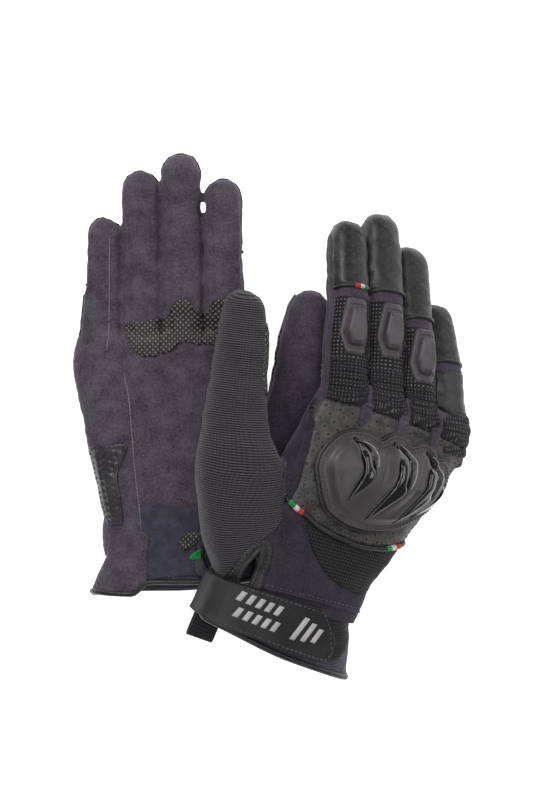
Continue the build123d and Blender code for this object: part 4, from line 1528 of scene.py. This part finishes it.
def strap_print(glove, face):
    """Plain slanted bars printed on the strap, in place of any lettering."""
    over = mesh_of(glove, face)
    shell = Surface(over)
    over.free()
    middle = sum(STRAP_Y) / 2
    bars = [(-31 + 5.2 * k, middle + 4.6, 2.9, 5.2) for k in range(5)]
    bars += [(-29.5 + 5.2 * k, middle - 3.4, 2.9, 5.2) for k in range(5)]
    bars += [(4.5 + 5.6 * k, middle - 0.2 * k, 3.0, 13.0 - 2.6 * k) for k in range(3)]
    mesh = bmesh.new()
    for x, y, wide, tall in bars:
        made = bmesh.ops.create_grid(mesh, x_segments=2, y_segments=6, size=0.5)["verts"]
        for vert in made:
            spot_y = y + vert.co.y * tall
            spot_x = x + vert.co.x * wide + vert.co.y * tall * 0.32
            place, normal = shell.above(glove.hand(spot_x, spot_y), 1)
            vert.co = place + normal * 0.12
    piece = new_piece(glove, "strap_print", mesh, PRINT)
    thicken(piece, 0.25)
    settle(glove, piece, "strap")


def wrist_panels(glove, surface, cuff_surface):
    """Palm side of the wrist: a stretch inset above the cuff and a suede flap by the edge."""
    both = TwoSurfaces(surface, cuff_surface, CUFF_TOP)
    inset = [(20.5, 19.5), (0, 19.0), (-27, 19.5), (-29.5, 8), (-28, -3), (-24, -16), (0, -18.5),
             (18, -18), (20.5, 0)]
    panel = laid_patch(glove, both, "wrist_inset", inset, -1, 0.5, 0.9, NEOPRENE,
                       pitch=1.2, hole=palm_side(SLIT, 1.5))
    settle(glove, panel, "hand")
    label = laid_patch(glove, both, "inner_label", [(-4.4, -9.0), (-9, -4.3), (-12, -4.3),
                       (-12, -9.6)], -1, 1.0, 0.6, GREEN, pitch=0.9)
    settle(glove, label, "hand")
    keeper = laid_patch(glove, both, "cuff_grip_tab", [(1, -1), (-2, 3.3), (-8.7, 6), (-10.4, 1.6),
                        (-2.2, -4.3)], -1, 1.2, 1.0, GRIP, pitch=0.9)
    settle(glove, keeper, "hand")
    flap = [(18, 4.5), (30, 5.5), (38.5, 5), (40.5, -8), (45.5, -20), (46.5, -26.5), (36, -28.3),
            (22, -28.3), (18.5, -22), (18, -8)]
    cover = laid_patch(glove, both, "wrist_flap", flap, -1, 1.0, 1.3, SUEDE, pitch=1.3)
    settle(glove, cover, "hand")
    row = trace(glove, both, [(20, 1.5), (30, 2.6), (37, 2.2)], -1, 1.2)
    side_row = trace(glove, both, [(20.5, 1), (20.6, -12), (21.5, -25)], -1, 1.2)
    lifted = [[(place + normal * 1.0, normal) for place, normal in line]
              for line in (row, side_row)]
    sewn = stitches(glove, "wrist_flap_stitches", lifted, THREAD, 2.7, 1.9, 0.24, 0.08)
    settle(glove, sewn, "hand")


def make_tab(glove):
    """Folded webbing loop below the cuff on the palm side."""
    mesh = bmesh.new()
    path = []
    for step in range(25):
        angle = pi * step / 24
        path.append((-41.0 - 2.5 * sin(angle), -19.0 - 1.15 * cos(angle)))
    path = [(-25.0, -20.15), (-32.0, -20.15)] + path + [(-32.0, -17.85), (-25.0, -17.85)]
    bmesh.ops.create_grid(mesh, x_segments=8, y_segments=len(path) - 1, size=0.5)
    for vert in mesh.verts:
        u = vert.co.x + 0.5
        y, z = path[int(round((vert.co.y + 0.5) * (len(path) - 1)))]
        vert.co = glove.hand(-34.0 + 15.0 * u, y, z)
    piece = new_piece(glove, "pull_tab_loop", mesh, WEBBING, recalculate=True)
    thicken(piece, 1.1, 0.0)
    settle(glove, piece, "hand", "pull_tab")


# ---------------------------------------------------------------- dressing a glove
TABS = [  # middle of each suede tab that comes down between two fingers, and its lower end
    (-11.6, 91.0), (11.3, 92.5), (33.0, 92.5),
]


def wrist_seam(glove, surface):
    """Raised seam with a row of stitches above it, just above the strap."""
    route = [(-21, -2.4), (-5, -2.2), (14, -2.2), (30, -2.3), (41, -2.6)]
    line = trace(glove, surface, route, 1, 1.2)
    # The seam cord takes the darker suede copy: painted shade.
    fold = tube(glove, "wrist_seam", line, 0.7, SUEDE_SHADED, lift=0.2)
    settle(glove, fold, "hand")
    rows = [trace(glove, surface, [(x, y + 1.7) for x, y in route], 1, 1.2)]
    sewn = stitches(glove, "wrist_seam_stitches", rows, THREAD, 2.7, 1.9, 0.24, 0.06)
    settle(glove, sewn, "hand")


def finger_tabs(glove, surface):
    for number, (x, low) in enumerate(TABS):
        outline = [(x - 2.6, 103), (x - 2.6, 98), (x - 2.2, low + 3), (x - 0.6, low),
                   (x + 0.8, low), (x + 2.2, low + 3), (x + 2.6, 98), (x + 2.6, 103)]
        tab = laid_patch(glove, surface, "finger_tab_%d" % (number + 1), outline, 1, 1.75, 1.4,
                         SUEDE_SIDE, pitch=0.9)
        settle(glove, tab, "hand")


def back_of_hand(glove, surface):
    outline = [(-36.0, 96.5), (-32.5, 82), (-28.8, 62), (-27.2, 50), (-27.0, 42.6), (-17, 38.6),
               (-5.8, 35), (8, 32.8), (20.3, 32.2), (37.4, 34.8), (48, 38.5), (51.5, 55),
               (54.5, 70), (56.5, 84), (57, 97), (40, 99.6), (20, 100.3), (0, 100.4), (-20, 99.8)]
    panel = laid_patch(glove, surface, "back_leather", outline, 1, 0.75, 1.1, LEATHER,
                       pitch=1.25)
    settle(glove, panel, "hand", "back_panel")
    mesh_panel = [(-15, 36.3), (-9, 27), (-1.4, 19.4), (13.3, 10.4), (30, 7.0), (40, 8.5),
                  (43.5, 22), (46.5, 36.5), (37, 33.5), (20, 30.6), (6, 31.4), (-6, 34)]
    net = laid_patch(glove, surface, "wrist_mesh_panel", mesh_panel, 1, 0.45, 0.9, WRIST_MESH,
                     pitch=1.4)
    settle(glove, net, "hand", "wrist_mesh")
    route = [(-29.5, 43.6), (-24, 40.8), (-15.5, 37.6), (-5.8, 34.2), (8, 31.9), (20.3, 31.2),
             (32, 32.6), (41, 35.6), (49, 40)]
    line = trace(glove, surface, route, 1, 1.0)
    cord = tube(glove, "guard_piping_cord", line, 1.35, RUBBER, lift=1.3)
    settle(glove, cord, "hand", "guard_piping")
    inner = inset_line(rounded_line(outline, 2.0, True), 2.0)
    edge = [surface.above(glove.hand(p.x, p.y), 1) for p in inner]
    row = stitches(glove, "back_leather_stitches", [edge + edge[:1]], THREAD, 2.9, 2.0, 0.24, 0.85)
    settle(glove, row, "hand")
    for number, start in enumerate((2, len(line) - 16)):
        for part, material in enumerate((GREEN, WHITE, RED)):
            first = start + part * 3
            piece = tube(glove, "piping_flag_%d_%d" % (number + 1, part + 1),
                         line[first:first + 4], 1.5, material, lift=1.35)
            settle(glove, piece, "hand")


def knit_panel(glove, surface):
    """Rib knit over the back of the thumb and the thumb side of the hand, to the wrist."""
    border = [(-67, -2.5), (-58, -2.0), (-48, 1.2), (-42, 5.4), (-38, 10.5), (-34, 16.0),
              (-29, 20.0), (-16, 21.8), (0, 21.0), (8, 17.0), (14, 11.0), (30, 9.4),
              (THUMB_TIP, 3.0)]

    def spot_at(u, v):
        s = -64 + (THUMB_TIP - 1.5 + 64) * v
        left, right, low, high = read(THUMB_TABLE, s)
        middle, half = (left + right) / 2, max((right - left) / 2, 0.5)
        edge = min(max((read(border, s)[0] - middle) / half, -0.95), 0.995)
        turned = degrees(acos(abs(edge) ** (THUMB_SQUARE / 2)))
        start = turned if edge > 0 else 180 - turned
        if s > 14:
            start = 8.0
        end = 186.0
        angle = radians(start + (end - start) * u)
        x, z = oval(left, right, low, high, angle, THUMB_SQUARE)
        shrink = 1 - ease(v, 0.955, 1.0)
        x, z = middle + (x - middle) * shrink, z * shrink
        return glove.thumb(x, s + 2 * (1 - shrink), z), (-u * 38.0, s + 3.0 * sin(u * pi))

    panel = wrap_panel(glove, surface, "thumb_knit_panel", 104, 40, spot_at, 0.55, 1.0, KNIT)
    follow_thumb(glove, panel)


def thumb_details(glove, surface):
    """Raw edge where the knit meets the suede, and the oval grip on the back of the thumb."""
    def at(angle, s):
        x, z = oval(*read(THUMB_TABLE, s), radians(angle), THUMB_SQUARE)
        return glove.thumb(x, s, z)

    edge = [surface.near(at(6.0, 14 + 1.2 * k)) for k in range(58)]
    welt = tube(glove, "thumb_raw_edge", edge, 0.55, EDGE, lift=0.7)
    follow_thumb(glove, welt)

    def spot_at(u, v):
        s = 31 + 38 * v
        half = 30 * max(1 - ((s - 50) / 19.6) ** 2, 0.02) ** 0.5
        angle = 26 + half * (u * 2 - 1)
        return at(angle, s), (-radians(angle) * 10, s)

    grip = wrap_panel(glove, surface, "thumb_grip", 32, 14, spot_at, 1.1, 0.9, GRIP)
    follow_thumb(glove, grip)


def finger_details(glove, surface, finger):
    _, _, _, _, middle, length = FINGERS[finger]
    ribs = 6 if finger != "little" else 4

    def accordion(u, v):
        wave = abs(sin(pi * (v * ribs + 0.12 * cos(pi * u))))
        return 0.85 * wave ** 0.8 * min(1.0, u * 9, (1 - u) * 9)

    fold = finger_panel(glove, surface, finger + "_accordion", finger, (-10.0, 12.0),
                        (24.0, 156.0), 0.5, 0.9, ACCORDION, rows=60, columns=24,
                        height=accordion)
    follow_finger(glove, fold, finger)
    if finger != "little":
        make_armour(glove, surface, finger)
        net = finger_panel(glove, surface, finger + "_mesh", finger, (10.5, middle * 0.985),
                           (22.0, 158.0), 0.55, 0.9, MESH)
        follow_finger(glove, net, finger)
    else:
        cover = finger_panel(glove, surface, finger + "_side_leather", finger,
                             (10.0, middle * 0.985), (-20.0, 150.0), 0.6, 0.9, PLAIN_LEATHER)
        follow_finger(glove, cover, finger)
    cap = finger_panel(glove, surface, finger + "_tip_leather", finger,
                       (middle + 5.5, length - 0.5), lambda s: (16.0 - 20 * ease(
                           s, length - 14, length), 164.0 + 20 * ease(s, length - 14, length)),
                       0.7, 1.0, TIP_LEATHER, columns=26, closed=True)
    follow_finger(glove, cap, finger, 1)
    band = finger_line(glove, surface, finger, [(18, middle + 4.4), (50, middle + 4.8),
                                                (90, middle + 5.0), (130, middle + 4.8),
                                                (162, middle + 4.4)], 1.0)
    cord = tube(glove, finger + "_band", band, 1.0, RUBBER, lift=0.75)
    follow_finger(glove, cord, finger, 1)
    if finger == "index":
        centre = len(band) // 2
        for part, material in enumerate((GREEN, WHITE, RED)):
            first = centre - 5 + part * 2
            flag = tube(glove, "index_flag_%d" % (part + 1), band[first:first + 3], 1.2,
                        material, lift=0.8)
            follow_finger(glove, flag, finger, 1)
    rows = [finger_line(glove, surface, finger, [(-66.0, middle + 3), (-66.0, length * 0.8),
                                                 (-62.0, length - 10)])]
    sewn = stitches(glove, finger + "_tip_stitches", rows, THREAD, 2.6, 1.7, 0.22, 0.08)
    follow_finger(glove, sewn, finger, 1)
    if finger == "little":
        for part, first, last in (("base", 2, middle * 0.54), ("tip", middle * 0.56, length - 9)):
            raw = finger_line(glove, surface, finger, [(-112, first), (-112, (first + last) / 2),
                                                       (-112, last)])
            edge = tube(glove, "little_raw_edge_" + part, raw, 0.28, EDGE, lift=0.12)
            follow_finger(glove, edge, finger, 0 if part == "base" else 1)
    lower = [finger_line(glove, surface, finger, [(-66.0, 8), (-66.0, middle * 0.5)])]
    row = stitches(glove, finger + "_base_stitches", lower, THREAD, 2.6, 1.7, 0.22, 0.08)
    follow_finger(glove, row, finger)


GRIP_OUTLINES = {
    "index": [(-31, 106.5), (-22, 107), (-12, 107.5), (-12, 115), (-12, 123.6), (-14.4, 124.4),
              (-18.6, 130.6), (-24.5, 131.6), (-31, 128.5)],
    "middle": [(-11.4, 107.5), (-4, 108.3), (0.5, 107.8), (4.5, 103.8), (11, 102.4), (11, 112),
               (11, 120.6), (6.6, 122.4), (1.8, 130.4), (-4.4, 130.6), (-8, 124.2), (-11.4, 123.6)],
    "ring": [(11.6, 102.2), (17, 100.6), (22, 101), (27, 107), (30.6, 116.5), (26, 118.6),
             (18, 119.8), (11.6, 120.5)],
}


def palm_details(glove, surface):
    first = True
    for finger, outline in GRIP_OUTLINES.items():
        hinge, base = FINGERS[finger][:2]
        centre = (base[0] + base[1]) / 2
        locate = lambda x, y, z, f=finger, h=hinge, c=centre: glove.finger(f, x - c, y - h, z)
        grip = laid_patch(glove, surface, "palm_grip_" + finger, outline, -1, 0.9, 1.1, GRIP,
                          pitch=1.1, locate=locate)
        follow_finger(glove, grip, finger)
        if first:
            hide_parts(glove.body("palm_grip_patch"))
        first = False
    heel = [(29.5, 52.5), (40, 52), (50.5, 50.5), (49, 40), (45.5, 24), (41, 9.5), (36, 8.6),
            (31.8, 10), (32.6, 22), (34.4, 36), (31, 45)]

    def rows(x, y, edge):
        if edge < 2.6:
            return -0.1
        along = (y * 0.92 - x * 0.25) / 3.1
        across = (x + 0.35 * y) / 3.6 + (floor(along) % 2) * 0.5
        dome_x, dome_y = across - floor(across) - 0.5, along - floor(along) - 0.5
        return 0.75 * max(1 - (dome_x * dome_x + dome_y * dome_y) * 4.2, 0.0) ** 0.6

    slider = laid_patch(glove, surface, "heel_slider", heel, -1, 0.9, 1.2, GRIP_PLAIN,
                        pitch=0.8, height=rows, smooth_edge=2)
    settle(glove, slider, "hand", "heel_patch")
    sewn = []
    for gap in (-1.2, 1.2):
        around = inset_line(rounded_line(heel, 1.4, True), gap)
        spots = [surface.above(glove.hand(p.x, p.y), -1) for p in around]
        sewn.append([(place + normal * (0.0 if gap < 0 else 0.85), normal)
                     for place, normal in spots + spots[:1]])
    for name in ("overlay", "edge", "cuff"):
        for shift in ((-0.9, 0.9) if name == "overlay" else (1.2,)):
            sewn.append(trace(glove, surface, [(x + shift, y - shift * 0.4)
                                               for x, y in PALM_SEAMS[name]], -1, 1.3))
    raw = tube(glove, "palm_raw_edge", trace(glove, surface, PALM_SEAMS["edge"][1:], -1, 1.3),
               0.3, EDGE, lift=0.12)
    settle(glove, raw, "hand")
    row = stitches(glove, "palm_stitches", sewn, THREAD, 2.8, 1.9, 0.24, 0.06)
    settle(glove, row, "hand")


class TwoSurfaces:
    """The cuff below a line across the wrist and the hand above it."""

    def __init__(self, hand, cuff, split):
        self.hand, self.cuff, self.split = hand, cuff, split

    def above(self, point, side):
        hand_spot, normal = self.hand.above(point, side)
        if point[1] < self.split:
            cuff_spot, cuff_normal = self.cuff.above(point, side)
            if cuff_spot.z * side > hand_spot.z * side:
                return cuff_spot, cuff_normal
        return hand_spot, normal


def slit_rim(glove, surface, cuff_surface):
    """Leather keyhole binding round the slit, on both faces of the wrist."""
    both = TwoSurfaces(surface, cuff_surface, CUFF_TOP)
    for side, tag in ((1, "back"), (-1, "palm")):
        opening = SLIT if side > 0 else palm_side(SLIT, 1.5)
        facing = SLIT_RIM if side > 0 else palm_side(SLIT_RIM)
        spots = []
        for x, y in rounded_line(opening, 1.2, True):
            place, normal = both.above(glove.hand(x, y), side)
            spots.append((place, normal))
        middle = sum((place for place, _ in spots), Vector()) / len(spots)
        pushed = []
        for place, normal in spots:
            out = Vector((place.x - middle.x, place.y - middle.y, 0)).normalized()
            pushed.append((place + out * 0.9, Vector((0, 0, side))))
        bound = tube(glove, "slit_binding_" + tag, pushed, 1.25, BINDING,
                     lift=0.25, closed=True, around=4)
        settle(glove, bound, "hand")
        patch = laid_patch(glove, both, "slit_facing_" + tag, facing, side, 0.95, 1.0, BINDING,
                           pitch=1.0, hole=opening)
        settle(glove, patch, "hand")
        around = inset_line(rounded_line(facing, 1.2, True), 1.5)
        spots = [both.above(glove.hand(p.x, p.y), side) for p in around]
        spots = [(place + normal * 0.95, normal) for place, normal in spots]
        sewn = stitches(glove, "slit_stitches_" + tag, [spots + spots[:1]], THREAD, 2.4, 1.6,
                        0.22, 0.05)
        settle(glove, sewn, "hand")


def dress(name):
    glove = Glove(name)
    skin = fabric_skin(glove)
    wrinkle(glove, skin)
    rough = Surface(skin)
    pressed = [[place for place, _ in line] for line in seam_lines(glove, rough).values()]
    for finger in FINGERS:
        pressed += [[place for place, _ in line] for line in finger_seams(glove, rough, finger)]
    press_seams(skin, pressed)
    surface = Surface(skin)
    make_guard(glove)
    back_of_hand(glove, surface)
    finger_tabs(glove, surface)
    wrist_seam(glove, surface)
    knit_panel(glove, surface)
    thumb_details(glove, surface)
    for finger in FINGERS:
        finger_details(glove, surface, finger)
    palm_details(glove, surface)
    cuff_surface = make_cuff(glove)
    make_strap(glove, cuff_surface)
    make_tab(glove)
    wrist_panels(glove, surface, cuff_surface)
    slit_rim(glove, surface, cuff_surface)
    cut_skin(glove, skin)
    skin.free()


for glove_name in ("rear", "front"):
    dress(glove_name)


# ---------------------------------------------------------------- floor, light and camera
def area_light(name, place, target, size, power):
    light = bpy.data.lights.new(name, "AREA")
    light.size = size
    light.energy = power
    lamp = bpy.data.objects.new(name, light)
    bpy.context.scene.collection.objects.link(lamp)
    lamp.location = place
    lamp.rotation_mode = "QUATERNION"
    lamp.rotation_quaternion = (Vector(target) - Vector(place)).to_track_quat("-Z", "Y")


paper, _, paper_surface = finish_of("matt white paper floor", "#ffffff", 0.9)
paper_surface.inputs["Specular IOR Level"].default_value = 0.1
paper_surface.inputs["Emission Color"].default_value = (1, 1, 1, 1)
paper_surface.inputs["Emission Strength"].default_value = 0.85
floor_mesh = bmesh.new()
bmesh.ops.create_grid(floor_mesh, x_segments=1, y_segments=1, size=3.0)
floor_data = bpy.data.meshes.new("floor")
floor_mesh.to_mesh(floor_data)
floor_mesh.free()
floor_piece = bpy.data.objects.new("floor", floor_data)
floor_piece.location.z = -0.0005
bpy.context.scene.collection.objects.link(floor_piece)
floor_data.materials.append(paper)

area_light("key", (-0.5, 0.8, 0.9), (0, 0, 0.03), 0.45, 6.5)
area_light("overhead", (0.15, 0.1, 1.3), (0, 0, 0.03), 0.8, 5.0)
area_light("fill", (1.0, 0.35, 0.7), (0, 0, 0.03), 0.6, 2.8)
area_light("front fill", (0.1, -1.0, 0.8), (0, 0, 0.03), 0.9, 1.7)
world = bpy.data.worlds.new("studio")
world.use_nodes = True
world.node_tree.nodes["Background"].inputs["Color"].default_value = (1, 1, 1, 1)
world.node_tree.nodes["Background"].inputs["Strength"].default_value = 0.2
bpy.context.scene.world = world
bpy.context.scene.view_settings.view_transform = "Standard"

CAMERA_HEIGHT = 0.600
CAMERA_OVER = (-0.004, 0.006)
SENSOR = 36.0
GLOVE_PLANE = 0.044
HEIGHT_SEEN = 0.432            # what the view holds from its top to its foot, at that plane
lens = bpy.data.cameras.new("camera")
lens.sensor_width = SENSOR
lens.lens = SENSOR * (CAMERA_HEIGHT - GLOVE_PLANE) / HEIGHT_SEEN
lens.clip_start = 0.01
camera = bpy.data.objects.new("camera", lens)
camera.location = (*CAMERA_OVER, CAMERA_HEIGHT)
bpy.context.scene.collection.objects.link(camera)
bpy.context.scene.camera = camera
